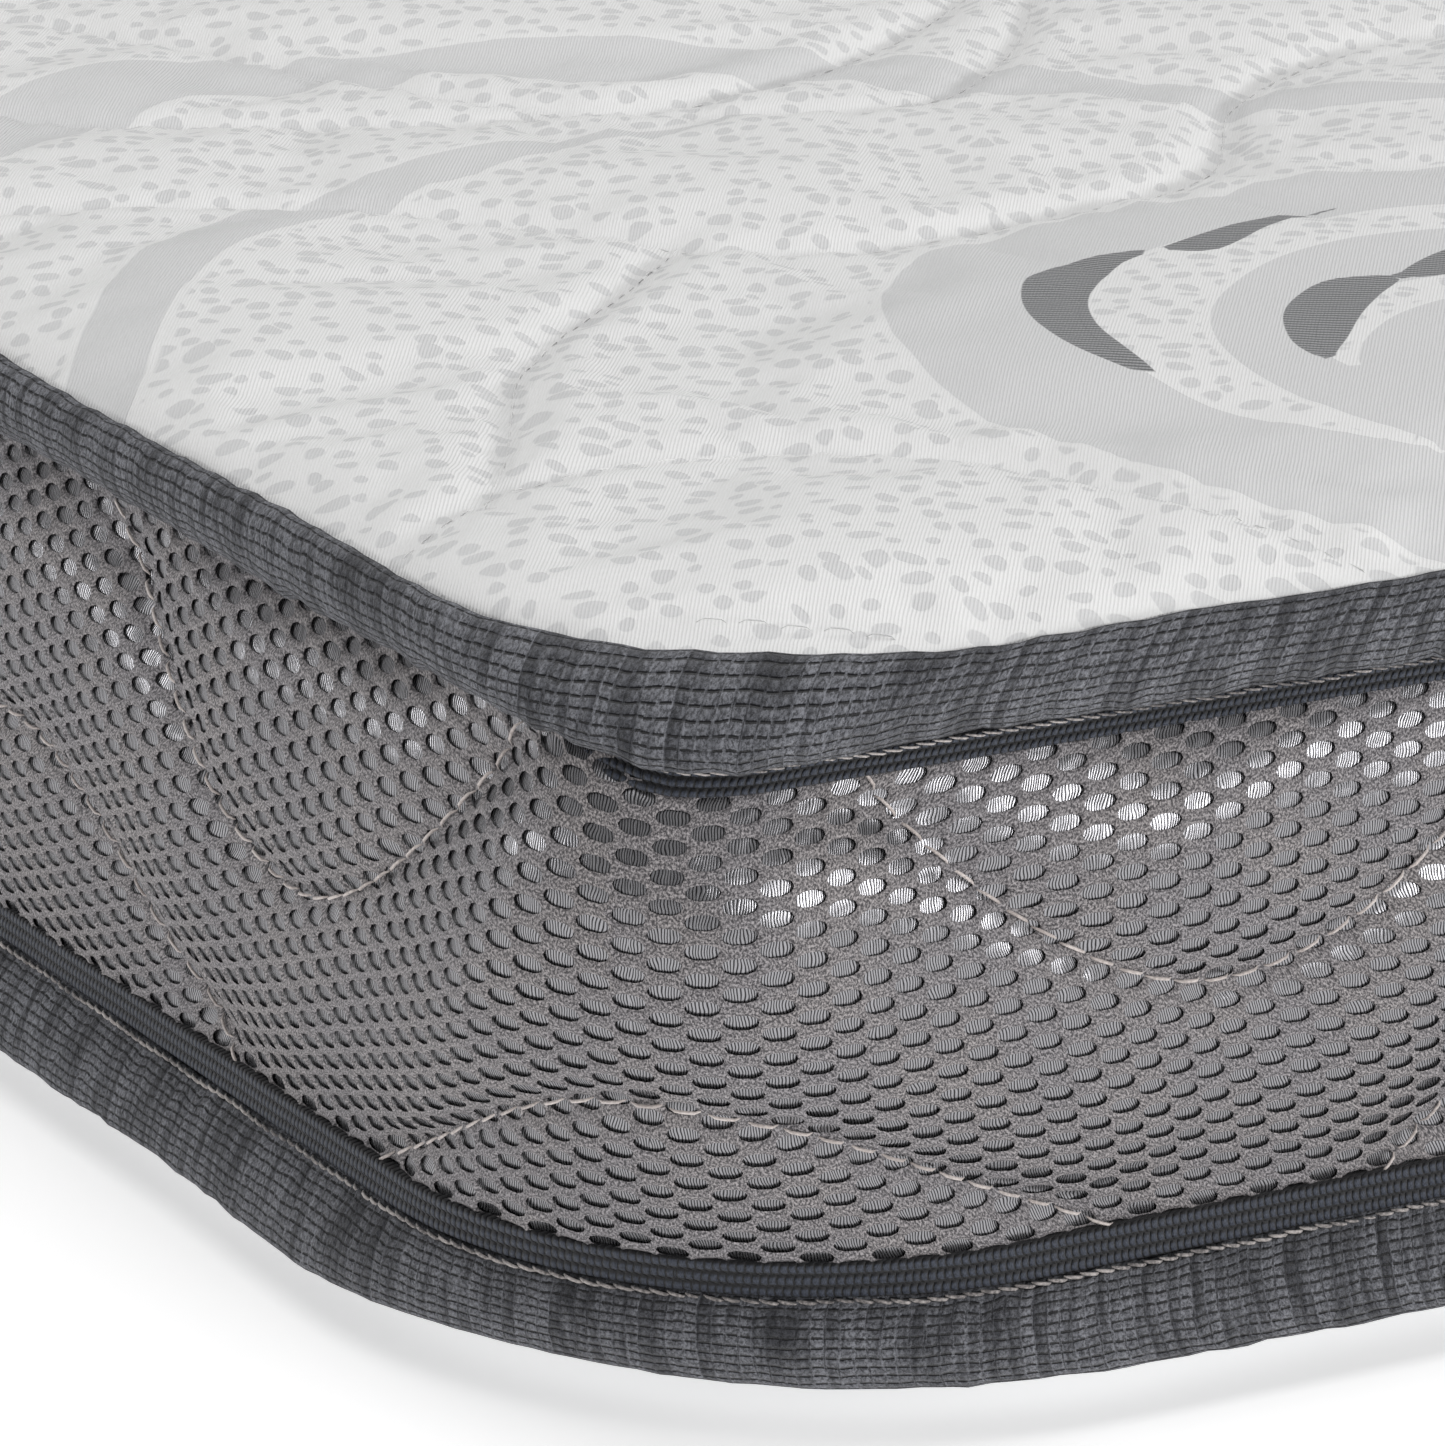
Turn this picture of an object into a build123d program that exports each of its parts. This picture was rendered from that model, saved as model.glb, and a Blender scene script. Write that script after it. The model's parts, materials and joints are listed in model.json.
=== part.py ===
from build123d import *
import os
from math import sqrt

# Pressure relief mattress: a foam core in a knitted sock, inside a quilted, tape-edged cover.
# Millimetres, +Z up, +X towards the head end. The origin is the middle of the underside.
# Every layer is placed by its distance in from the overall size and its height above the floor.

# Overall size
length = 1980.0
width = 880.0
height = 100.0
corner_radius = 52.0  # seen from above, on the outermost line of the border
bottom_corner_radius = 74.0  # the same for the bottom band and the base panel, which are rounder
core_corner_radius = 66.0  # the same for the core and its sock, which stay clear of that band

# Small gap left between two plies that lie on each other
ply_gap = 0.2

# Panels, from the floor up
base_cloth_thickness = 1.5
base_wadding_thickness = 3.0
backing_thickness = 0.4
sock_thickness = 0.8
top_wadding_thickness = 12.0
top_cloth_thickness = 1.6
crown_rise = 7.6  # how far the top panel puffs up above its edge seam
crown_width = 36.0  # how far in from that seam the puff reaches full height
base_rise = 5.5  # how far the base panel's edge seam is lifted off the floor
base_rise_width = 30.0  # how far in from that seam the base panel lies flat

# Edge, from the top down
top_band_height = 9.9
top_tape_height = 2.7
bottom_tape_height = 4.9
bottom_band_height = 12.0
top_seam_inset = 6.0
top_roll_inset = 0.8
bottom_roll_inset = 2.2
tape_inset = 5.8
tape_thickness = 1.2
chenille_thickness = 1.8
mesh_thickness = 3.0
mesh_hem = 1.2  # how far the mesh runs on behind each tape
belly_inset = 0.0  # the border's outermost line
border_wadding_edge = 7.6  # thickness of the border wadding at its thin upper and lower edges

# Threads
tape_thread_size = 0.7
quilting_thread_radius = 0.35
border_quilting_offset = 14.0  # mean height of each quilting wave above and below the border's middle
bobbin_thread_size = 0.5
bobbin_pitch_x = 110.0
bobbin_pitch_y = 110.0

# Core
visco_thickness = 19.5
castellated_thickness = 30.0
castellation_pitch = 66.0
castellation_slot = 6.0
castellation_depth = 20.0
rail_width = 60.0
sock_opening_width = 600.0
sock_opening_height = 45.0

# Heights worked out from the sizes above
top_seam_z = height - crown_rise
top_band_z = top_seam_z - top_band_height
top_tape_z = top_band_z - top_tape_height
bottom_tape_z = base_rise + bottom_band_height
mesh_low_z = bottom_tape_z + bottom_tape_height
mesh_middle_z = (mesh_low_z + top_tape_z) / 2

base_wadding_z = base_cloth_thickness + ply_gap
base_backing_z = base_wadding_z + base_wadding_thickness + ply_gap
sock_z = base_backing_z + backing_thickness + ply_gap
core_z = sock_z + sock_thickness + ply_gap
top_wadding_z = height - top_cloth_thickness - ply_gap - top_wadding_thickness
top_backing_z = top_wadding_z - ply_gap - backing_thickness
bobbin_z = top_backing_z - ply_gap - bobbin_thread_size
sock_top_z = bobbin_z - ply_gap
core_top_z = sock_top_z - sock_thickness - ply_gap
visco_z = core_top_z - visco_thickness
castellated_z = visco_z - ply_gap - castellated_thickness

# Insets worked out from the sizes above
mesh_inset = tape_inset + tape_thickness + ply_gap
border_wadding_inner = mesh_inset + mesh_thickness + ply_gap + border_wadding_edge
border_backing_inset = border_wadding_inner + ply_gap
sock_inset = border_backing_inset + backing_thickness + ply_gap
core_inset = sock_inset + sock_thickness + ply_gap
top_roll_radius = top_band_height / 2 - ply_gap
top_roll_centre = (top_roll_inset + top_roll_radius, top_band_z + top_band_height / 2)
bottom_roll_radius = bottom_band_height / 2 - ply_gap
bottom_roll_centre = (bottom_roll_inset + bottom_roll_radius, base_rise + bottom_band_height / 2)
base_panel_inset = bottom_roll_centre[0] + ply_gap
top_wadding_inset = top_roll_centre[0] + top_roll_radius - chenille_thickness

core_length = length - 2 * core_inset
core_width = width - 2 * core_inset

# Edge pieces are sections swept round the outside. The plane that a section is drawn on measures
# the distance in from the outside first, and the height second.
section_plane = Plane(origin=(0, -width / 2, 0), x_dir=(0, 1, 0), z_dir=(1, 0, 0))


def outline(inset, radius=corner_radius):
    """Rounded rectangle that lies a set distance inside the overall size."""
    return RectangleRounded(length - 2 * inset, width - 2 * inset, radius - inset)


edge_line = outline(0).wire()
bottom_edge_line = outline(0, bottom_corner_radius).wire()


def save(node, label):
    """Name a finished piece and write it as its own file."""
    node.part.label = label
    export_step(node.part, f"parts/{label}.step")


def bow(chord, rise):
    """Radius of the arc that rises a set amount over a chord."""
    return (chord**2 / 4 + rise**2) / (2 * rise)


belly_radius = bow(top_tape_z - mesh_low_z, mesh_inset - belly_inset)
belly_centre = (belly_inset + belly_radius, mesh_middle_z)


def belly_arc(depth):
    """End and middle points of the border's bulge, at a set depth below its outer face."""
    return (
        (mesh_inset + depth, mesh_low_z),
        (belly_inset + depth, mesh_middle_z),
        (mesh_inset + depth, top_tape_z),
    )


os.makedirs("parts", exist_ok=True)

# ---- Top panel: quilted knitted cloth, wadding and backing, with the quilting's under-thread

crown_slope = crown_rise / crown_width
cloth_fall = top_cloth_thickness / crown_slope  # how far in the cloth's underside meets the seam's height

with BuildPart() as top_panel_cloth:
    with BuildSketch(Plane.XY.offset(top_seam_z)):
        add(outline(top_seam_inset))
    with BuildSketch(Plane.XY.offset(height)):
        add(outline(top_seam_inset + crown_width))
    loft()
    with BuildSketch(Plane.XY.offset(top_seam_z)):
        add(outline(top_seam_inset + cloth_fall))
    with BuildSketch(Plane.XY.offset(height - top_cloth_thickness)):
        add(outline(top_seam_inset + crown_width))
    loft(mode=Mode.SUBTRACT)
save(top_panel_cloth, "top_panel_cloth")

wadding_crown_inset = top_seam_inset + crown_width
wadding_crown_z = height - top_cloth_thickness - ply_gap
wadding_edge_z = wadding_crown_z - (wadding_crown_inset - top_wadding_inset) * crown_slope
with BuildPart() as top_panel_wadding:
    with BuildSketch(Plane.XY.offset(top_wadding_z)):
        add(outline(top_wadding_inset))
    extrude(amount=wadding_edge_z - top_wadding_z)
    with BuildSketch(Plane.XY.offset(wadding_edge_z)):
        add(outline(top_wadding_inset))
    with BuildSketch(Plane.XY.offset(wadding_crown_z)):
        add(outline(wadding_crown_inset))
    loft()
save(top_panel_wadding, "top_panel_wadding")

with BuildPart() as top_panel_backing:
    with BuildSketch(Plane.XY.offset(top_backing_z)):
        add(outline(top_wadding_inset))
    extrude(amount=backing_thickness)
save(top_panel_backing, "top_panel_backing")

bobbin_rows = int(core_width // bobbin_pitch_y)
bobbin_columns = int(core_length // bobbin_pitch_x)
with BuildPart() as top_quilting_thread:
    with BuildSketch(Plane.XY.offset(bobbin_z)):
        with GridLocations(0, bobbin_pitch_y, 1, bobbin_rows):
            Rectangle(core_length, bobbin_thread_size)
        with GridLocations(bobbin_pitch_x, 0, bobbin_columns, 1):
            Rectangle(bobbin_thread_size, core_width)
    extrude(amount=bobbin_thread_size)
save(top_quilting_thread, "top_quilting_thread")


# ---- Rolled chenille bands and their fillers


def roll_section(centre, radius):
    """Half disc that bulges outwards from a line through its centre."""
    with BuildSketch(section_plane) as section:
        with Locations(centre):
            Circle(radius)
            Rectangle(radius, 2 * radius, align=(Align.MIN, Align.CENTER), mode=Mode.SUBTRACT)
    return section


def band_section(centre, radius):
    """Cloth of a rolled band: the half disc without the filler's room."""
    with BuildSketch(section_plane) as section:
        with Locations(centre):
            Circle(radius)
            Circle(radius - chenille_thickness, mode=Mode.SUBTRACT)
            Rectangle(radius, 2 * radius, align=(Align.MIN, Align.CENTER), mode=Mode.SUBTRACT)
    return section


rolls = {
    "top": (top_roll_centre, top_roll_radius, edge_line),
    "bottom": (bottom_roll_centre, bottom_roll_radius, bottom_edge_line),
}
for end, (centre, radius, line) in rolls.items():
    with BuildPart() as chenille_band:
        add(band_section(centre, radius).sketch)
        sweep(path=line)
    save(chenille_band, f"{end}_chenille_band")

    with BuildPart() as band_filler:
        add(roll_section(centre, radius - chenille_thickness - ply_gap).sketch)
        sweep(path=line)
    save(band_filler, f"{end}_band_filler")

# ---- Binding tapes and the thread that runs along each one's outer edge

tapes = {
    "top": (top_tape_z, top_tape_height - ply_gap, top_band_z - tape_thread_size - ply_gap),
    "bottom": (bottom_tape_z, bottom_tape_height - ply_gap, bottom_tape_z + ply_gap),
}
for end, (low_z, tape_height, thread_z) in tapes.items():
    with BuildPart() as binding_tape:
        with BuildSketch(section_plane):
            with Locations((tape_inset, low_z)):
                Rectangle(tape_thickness, tape_height, align=(Align.MIN, Align.MIN))
        sweep(path=edge_line)
    save(binding_tape, f"{end}_binding_tape")

    with BuildPart() as tape_thread:
        with BuildSketch(section_plane):
            with Locations((tape_inset - ply_gap, thread_z)):
                Rectangle(tape_thread_size, tape_thread_size, align=(Align.MAX, Align.MIN))
        sweep(path=edge_line)
    save(tape_thread, f"{end}_tape_thread")

# ---- Border: spacer mesh over wadding and backing, quilted through in two waves

with BuildPart() as mesh_border:
    with BuildSketch(section_plane):
        with BuildLine():
            outer = ThreePointArc(*belly_arc(0))
            inner = ThreePointArc(*belly_arc(mesh_thickness))
            for at, hem in ((0, (0, -mesh_hem)), (1, (0, mesh_hem))):
                Polyline(outer @ at, outer @ at + hem, inner @ at + hem, inner @ at)
        make_face()
    sweep(path=edge_line)
save(mesh_border, "mesh_border")

with BuildPart() as border_wadding:
    with BuildSketch(section_plane):
        with BuildLine():
            face = ThreePointArc(*belly_arc(mesh_thickness + ply_gap))
            Polyline(
                face @ 0,
                (border_wadding_inner, mesh_low_z),
                (border_wadding_inner, top_tape_z),
                face @ 1,
            )
        make_face()
    sweep(path=edge_line)
save(border_wadding, "border_wadding")

with BuildPart() as border_backing:
    with BuildSketch(section_plane):
        with Locations((border_backing_inset, bottom_tape_z)):
            Rectangle(backing_thickness, top_band_z - bottom_tape_z, align=(Align.MIN, Align.MIN))
    sweep(path=edge_line)
save(border_backing, "border_backing")

thread_reach = belly_radius + quilting_thread_radius + ply_gap
thread_inset = belly_centre[0] - sqrt(thread_reach**2 - border_quilting_offset**2)
with BuildPart() as border_quilting_thread:
    with BuildSketch(section_plane):
        for side in (-1, 1):
            with Locations((thread_inset, mesh_middle_z + side * border_quilting_offset)):
                Circle(quilting_thread_radius)
    sweep(path=edge_line)
save(border_quilting_thread, "border_quilting_thread")

# ---- Base panel: flat on the floor, and turned up to its edge seam

base_slope = base_rise / base_rise_width
base_flat_inset = base_panel_inset + base_rise_width
base_cloth_run = (base_rise - base_cloth_thickness) / base_slope
base_wadding_run = base_wadding_thickness / base_slope

with BuildPart() as base_panel_cloth:
    with BuildSketch():
        add(outline(base_flat_inset, bottom_corner_radius))
    with BuildSketch(Plane.XY.offset(base_rise)):
        add(outline(base_panel_inset, bottom_corner_radius))
    loft()
    with BuildSketch(Plane.XY.offset(base_cloth_thickness)):
        add(outline(base_flat_inset, bottom_corner_radius))
    with BuildSketch(Plane.XY.offset(base_rise)):
        add(outline(base_flat_inset - base_cloth_run, bottom_corner_radius))
    loft(mode=Mode.SUBTRACT)
save(base_panel_cloth, "base_panel_cloth")

with BuildPart() as base_panel_wadding:
    with BuildSketch(Plane.XY.offset(base_wadding_z)):
        add(outline(base_flat_inset, bottom_corner_radius))
    with BuildSketch(Plane.XY.offset(base_wadding_z + base_wadding_thickness)):
        add(outline(base_flat_inset - base_wadding_run, bottom_corner_radius))
    loft()
save(base_panel_wadding, "base_panel_wadding")

with BuildPart() as base_panel_backing:
    with BuildSketch(Plane.XY.offset(base_backing_z)):
        add(outline(base_flat_inset - base_wadding_run, bottom_corner_radius))
    extrude(amount=backing_thickness)
save(base_panel_backing, "base_panel_backing")

# ---- Inner sock: a thin knitted bag round the core, open at the foot end where the core goes in

with BuildPart() as inner_sock:
    with BuildSketch(Plane.XY.offset(sock_z)):
        add(outline(sock_inset, core_corner_radius))
    extrude(amount=sock_top_z - sock_z)
    with BuildSketch(Plane.XY.offset(sock_z + sock_thickness)):
        add(outline(sock_inset + sock_thickness, core_corner_radius))
    extrude(amount=sock_top_z - sock_z - 2 * sock_thickness, mode=Mode.SUBTRACT)
    with BuildSketch(Plane.YZ.offset(sock_inset - length / 2 - ply_gap)):
        with Locations((0, (sock_z + sock_top_z) / 2)):
            Rectangle(sock_opening_width, sock_opening_height)
    extrude(amount=sock_thickness + 2 * ply_gap, mode=Mode.SUBTRACT)
save(inner_sock, "inner_sock")

# ---- Foam core: base layer, castellated layer inside four firm rails, slow-recovery top layer

with BuildPart() as base_foam:
    with BuildSketch(Plane.XY.offset(core_z)):
        add(outline(core_inset, core_corner_radius))
    extrude(amount=castellated_z - ply_gap - core_z)
save(base_foam, "base_foam")

with BuildPart() as visco_foam_layer:
    with BuildSketch(Plane.XY.offset(visco_z)):
        add(outline(core_inset, core_corner_radius))
    extrude(amount=visco_thickness)
save(visco_foam_layer, "visco_foam_layer")

cell_length = core_length - 2 * (rail_width + ply_gap)
cell_width = core_width - 2 * (rail_width + ply_gap)
slots_x = int(cell_length // castellation_pitch)
slots_y = int(cell_width // castellation_pitch)
with BuildPart() as castellated_foam_layer:
    with BuildSketch(Plane.XY.offset(castellated_z)):
        Rectangle(cell_length, cell_width)
    extrude(amount=castellated_thickness)
    with BuildSketch(Plane.XY.offset(castellated_z + castellated_thickness)):
        with GridLocations(castellation_pitch, 0, slots_x, 1):
            Rectangle(castellation_slot, cell_width)
        with GridLocations(0, castellation_pitch, 1, slots_y):
            Rectangle(cell_length, castellation_slot)
    extrude(amount=-castellation_depth, mode=Mode.SUBTRACT)
save(castellated_foam_layer, "castellated_foam_layer")

for name, side in (("left_side_rail", -1), ("right_side_rail", 1)):
    with BuildPart() as side_rail:
        with BuildSketch(Plane.XY.offset(castellated_z)):
            add(outline(core_inset, core_corner_radius))
            with Locations((0, side * (core_width - rail_width) / 2)):
                Rectangle(core_length, rail_width, mode=Mode.INTERSECT)
        extrude(amount=castellated_thickness)
    save(side_rail, name)

for name, side in (("head_rail", 1), ("foot_rail", -1)):
    with BuildPart() as end_rail:
        with BuildSketch(Plane.XY.offset(castellated_z)):
            with Locations((side * (core_length - rail_width) / 2, 0)):
                Rectangle(rail_width, cell_width)
        extrude(amount=castellated_thickness)
    save(end_rail, name)
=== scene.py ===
# %% [markdown]
# # A thin ward mattress, closed all round by a tape-edged cover
# The mattress is a foam core in a sewn cover. Almost everything that shows is cloth: a quilted knitted panel
# on top, a roll of chenille round its edge, a ribbed tape, a border of open spacer mesh, a second tape and a
# second roll, and a plain panel underneath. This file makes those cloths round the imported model. It loads the
# frame first, so that every size and place below comes from the real parts.

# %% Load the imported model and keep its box
import json
from math import cos, pi, radians, sin

import bpy
import numpy as np
from mathutils import Matrix, Vector
from mathutils.kdtree import KDTree

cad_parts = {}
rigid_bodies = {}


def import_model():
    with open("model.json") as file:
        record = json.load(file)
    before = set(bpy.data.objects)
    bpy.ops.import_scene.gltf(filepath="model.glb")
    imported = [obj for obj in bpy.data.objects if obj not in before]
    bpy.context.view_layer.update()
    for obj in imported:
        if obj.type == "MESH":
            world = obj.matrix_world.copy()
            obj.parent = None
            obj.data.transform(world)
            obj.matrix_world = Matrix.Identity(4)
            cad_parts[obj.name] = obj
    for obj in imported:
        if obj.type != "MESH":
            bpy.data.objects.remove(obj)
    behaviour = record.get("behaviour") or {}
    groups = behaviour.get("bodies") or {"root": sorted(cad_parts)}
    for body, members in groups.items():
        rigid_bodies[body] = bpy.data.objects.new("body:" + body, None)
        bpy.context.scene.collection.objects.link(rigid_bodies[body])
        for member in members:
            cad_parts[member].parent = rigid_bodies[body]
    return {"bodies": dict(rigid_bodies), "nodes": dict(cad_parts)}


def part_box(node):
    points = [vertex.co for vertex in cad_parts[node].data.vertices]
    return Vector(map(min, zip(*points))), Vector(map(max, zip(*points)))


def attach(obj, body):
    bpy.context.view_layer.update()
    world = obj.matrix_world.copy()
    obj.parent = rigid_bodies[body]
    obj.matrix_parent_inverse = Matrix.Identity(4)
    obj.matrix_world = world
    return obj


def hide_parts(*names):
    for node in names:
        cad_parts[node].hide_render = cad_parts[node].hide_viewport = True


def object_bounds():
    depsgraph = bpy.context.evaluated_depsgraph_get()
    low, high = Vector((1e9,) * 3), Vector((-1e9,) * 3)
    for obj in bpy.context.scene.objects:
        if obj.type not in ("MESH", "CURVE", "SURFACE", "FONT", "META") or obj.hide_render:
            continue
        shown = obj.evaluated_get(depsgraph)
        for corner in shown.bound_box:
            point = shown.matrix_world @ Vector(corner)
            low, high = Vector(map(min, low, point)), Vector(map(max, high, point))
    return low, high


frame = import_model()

scene = bpy.context.scene
cad_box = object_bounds()
MM = 0.001
BODY = next(iter(frame["bodies"]))
HALF_LENGTH, HALF_WIDTH, HEIGHT = (round(x / MM, 1) for x in cad_box[1])


def placed(name, data):
    """Object in the scene for a mesh, a light or a camera."""
    piece = bpy.data.objects.new(name, data)
    scene.collection.objects.link(piece)
    return piece


print(f"body {BODY}, half length {HALF_LENGTH}, half width {HALF_WIDTH}, height {HEIGHT} mm")

# %% [markdown]
# ## Where the camera stands
# The view is a close one of one corner, from a little above. A long lens nearly a metre away flattens the
# perspective. The camera is placed by the direction that it looks in and by the point that it looks at, which
# is measured in from the mattress's front-left corner.

# %% Camera
AZIMUTH, ELEVATION, ROLL = radians(-29.8), radians(17.5), radians(0.6)
CAMERA_DISTANCE = 0.917
LENS = 199.2
AIM_FROM_CORNER = Vector((0.0601, 0.0788, 0.0616))

back = Vector((sin(AZIMUTH) * cos(ELEVATION), -cos(AZIMUTH) * cos(ELEVATION), sin(ELEVATION)))
right = Vector((cos(AZIMUTH), sin(AZIMUTH), 0))
up = back.cross(right)
corner = Vector((cad_box[0].x, cad_box[0].y, 0))
place = corner + AIM_FROM_CORNER + back * CAMERA_DISTANCE
across = right * cos(ROLL) + up * sin(ROLL)
upright = up * cos(ROLL) - right * sin(ROLL)

camera_data = bpy.data.cameras.new("camera")
camera_data.lens = LENS
camera_data.clip_end = 30
camera = placed("camera", camera_data)
camera.matrix_world = Matrix([(across[i], upright[i], back[i], place[i]) for i in range(3)] + [(0, 0, 0, 1)])
scene.camera = camera
print("camera at", tuple(round(x, 3) for x in place))

# %% [markdown]
# ## Light and floor
# A large soft light from above shows the weave. A long low light stands in front of each side that the camera
# sees, a little above the border, so that the shiny threads inside the mesh catch it, and a small one from
# beyond touches the far rim. The floor and the surroundings are white and plain, and the floor glows a little,
# which keeps the shadows on it pale. Every light is placed from the mattress's front-left corner.

# %% Studio
WORLD_STRENGTH, FLOOR_GLOW, FLOOR_REACH = 0.28, 0.47, 9
LIGHTS = {
    "top_light": ((0.4, 0.1, 2.4), (0.4, 0.2, 0), (3.4, 2.2), 38),
    "front_light": ((1.2, -2.1, 0.66), (0.1, 0, 0.06), (3.2, 0.26), 34),
    "left_light": ((-2.0, 1.2, 0.50), (0, 0.1, 0.06), (1.8, 0.26), 11),
    "far_light": ((-0.75, 2.1, 1.05), (0, 0.1, 0.06), (1.3, 0.4), 2.0),
}
scene.view_settings.view_transform = "Standard"
world = bpy.data.worlds.new("studio")
world.use_nodes = True
backdrop = world.node_tree.nodes["Background"].inputs
backdrop["Color"].default_value = (1, 1, 1, 1)
backdrop["Strength"].default_value = WORLD_STRENGTH
scene.world = world


def softbox(name, place, towards, size, watts):
    """Rectangular area light that stands at a place and faces a point."""
    data = bpy.data.lights.new(name, "AREA")
    data.shape = "RECTANGLE"
    data.size, data.size_y = size
    data.energy = watts
    light = placed(name, data)
    light.location = place
    light.rotation_euler = (towards - place).to_track_quat("-Z", "Y").to_euler()


for name, (place, towards, size, watts) in LIGHTS.items():
    softbox(name, corner + Vector(place), corner + Vector(towards), size, watts)

floor_mesh = bpy.data.meshes.new("floor")
floor_corners = [(x * FLOOR_REACH, y * FLOOR_REACH, 0) for x, y in ((-1, -1), (1, -1), (1, 1), (-1, 1))]
floor_mesh.from_pydata(floor_corners, [], [(0, 1, 2, 3)])
floor = placed("floor", floor_mesh)

# %% [markdown]
# ## Node trees without the clutter
# Every material below is a small tree of nodes. These helpers add a node and wire it in one line, so a
# material reads like its recipe: where the pattern's coordinates come from, what shapes them, and where they
# end in the shader. The geometry trees further down are wired by the same three helpers.

# %% Material helpers


class Wiring:
    """Short ways to add nodes to a node tree, which is kept as self.tree."""

    def node(self, kind, settings=None, **inputs):
        """Node of a kind, with its settings, and its inputs by name as numbers, colours or other sockets."""
        node = self.tree.nodes.new(kind)
        for key, value in (settings or {}).items():
            setattr(node, key, value)
        for key, value in inputs.items():
            self.feed(node.inputs[key.replace("_", " ")], value)
        return node

    def feed(self, socket, value):
        if isinstance(value, bpy.types.NodeSocket):
            self.tree.links.new(value, socket)
        else:
            socket.default_value = value

    def math(self, operation, a, b=0.0, c=0.0):
        node = self.node("ShaderNodeMath", {"operation": operation})
        for socket, value in zip(node.inputs, (a, b, c)):
            self.feed(socket, value)
        return node.outputs[0]


class Recipe(Wiring):
    """One material, with the steps that most fabrics share."""

    def __init__(self, name, roughness=0.85, specular=0.3):
        self.material = bpy.data.materials.new(name)
        self.material.use_nodes = True
        self.tree = self.material.node_tree
        self.shader = self.tree.nodes["Principled BSDF"]
        self.shader.inputs["Roughness"].default_value = roughness
        self.shader.inputs["Specular IOR Level"].default_value = specular

    def ramp(self, value, low, high, to_low=0.0, to_high=1.0):
        """Smooth step of a value from one range to another."""
        node = self.node("ShaderNodeMapRange", {"interpolation_type": "SMOOTHSTEP"}, Value=value)
        for key, number in (("From Min", low), ("From Max", high), ("To Min", to_low), ("To Max", to_high)):
            node.inputs[key].default_value = number
        return node.outputs["Result"]

    def mix(self, factor, a, b, blend="MIX"):
        node = self.node("ShaderNodeMix", {"data_type": "RGBA", "blend_type": blend})
        for socket, value in zip((node.inputs[0], node.inputs[6], node.inputs[7]), (factor, a, b)):
            self.feed(socket, value)
        return node.outputs[2]

    def scaled(self, source, scale, turn=0.0):
        """Coordinates of a source, multiplied by a scale along each axis and turned about Z."""
        node = self.node("ShaderNodeMapping", {"vector_type": "POINT"})
        self.tree.links.new(source, node.inputs["Vector"])
        node.inputs["Scale"].default_value = scale
        node.inputs["Rotation"].default_value = (0, 0, turn)
        return node.outputs["Vector"]

    def coordinates(self, output="Object"):
        return self.node("ShaderNodeTexCoord").outputs[output]

    def noise(self, vector, scale, detail=2.0, roughness=0.5):
        return self.node(
            "ShaderNodeTexNoise", Vector=vector, Scale=scale, Detail=detail, Roughness=roughness
        ).outputs["Fac"]

    def parts(self, vector):
        """The X and Y of a vector."""
        node = self.node("ShaderNodeSeparateXYZ", Vector=vector)
        return node.outputs["X"], node.outputs["Y"]

    def attribute(self, name):
        return self.node("ShaderNodeAttribute", {"attribute_name": name}).outputs["Fac"]

    def finish(self, color, height=None, distance=0.0003, strength=1.0, roughness=None, sheen=0.0):
        """Wire colour, bump height and roughness into the shader and give the material back."""
        self.feed(self.shader.inputs["Base Color"], color)
        if height is not None:
            bump = self.node("ShaderNodeBump", Height=height, Distance=distance, Strength=strength)
            self.tree.links.new(bump.outputs["Normal"], self.shader.inputs["Normal"])
        if roughness is not None:
            self.feed(self.shader.inputs["Roughness"], roughness)
        self.shader.inputs["Sheen Weight"].default_value = sheen
        self.shader.inputs["Sheen Roughness"].default_value = 0.6
        return self.material


floor_paint = Recipe("floor_paint", roughness=1.0, specular=0.0)
floor_grain = floor_paint.noise(floor_paint.coordinates(), 3.0)
floor_paint.shader.inputs["Emission Color"].default_value = (1, 1, 1, 1)
floor_paint.shader.inputs["Emission Strength"].default_value = FLOOR_GLOW
floor_mesh.materials.append(
    floor_paint.finish(floor_paint.mix(floor_grain, (0.93, 0.93, 0.93, 1), (0.95, 0.95, 0.95, 1)))
)
print("studio ready")

# %% [markdown]
# ## One line round the mattress
# Every edge cloth follows the same closed line, a rounded rectangle. A place on it is given by u, the distance
# along it from the front-left corner, and by how far in from the outside it lies. The corner's rounding
# changes with height: tight just under the top roll, which the cover pulls out to a point, and wide at the
# bottom, where the cloth is drawn under. Because all strips share this one function, their edges meet exactly.

# %% The edge line
LINE_INSET, LINE_RADIUS = 7.0, 50.0


def half_side(half, radius):
    """Length along the line from the middle of a corner to the middle of the side beside it."""
    return half - radius + radius * pi / 4


HALF_X = half_side(HALF_LENGTH - LINE_INSET, LINE_RADIUS)
HALF_Y = half_side(HALF_WIDTH - LINE_INSET, LINE_RADIUS)
PERIMETER = 4 * (HALF_X + HALF_Y)
CORNER_AT = (0.0, 2 * HALF_X, 2 * HALF_X + 2 * HALF_Y, 4 * HALF_X + 2 * HALF_Y)


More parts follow.
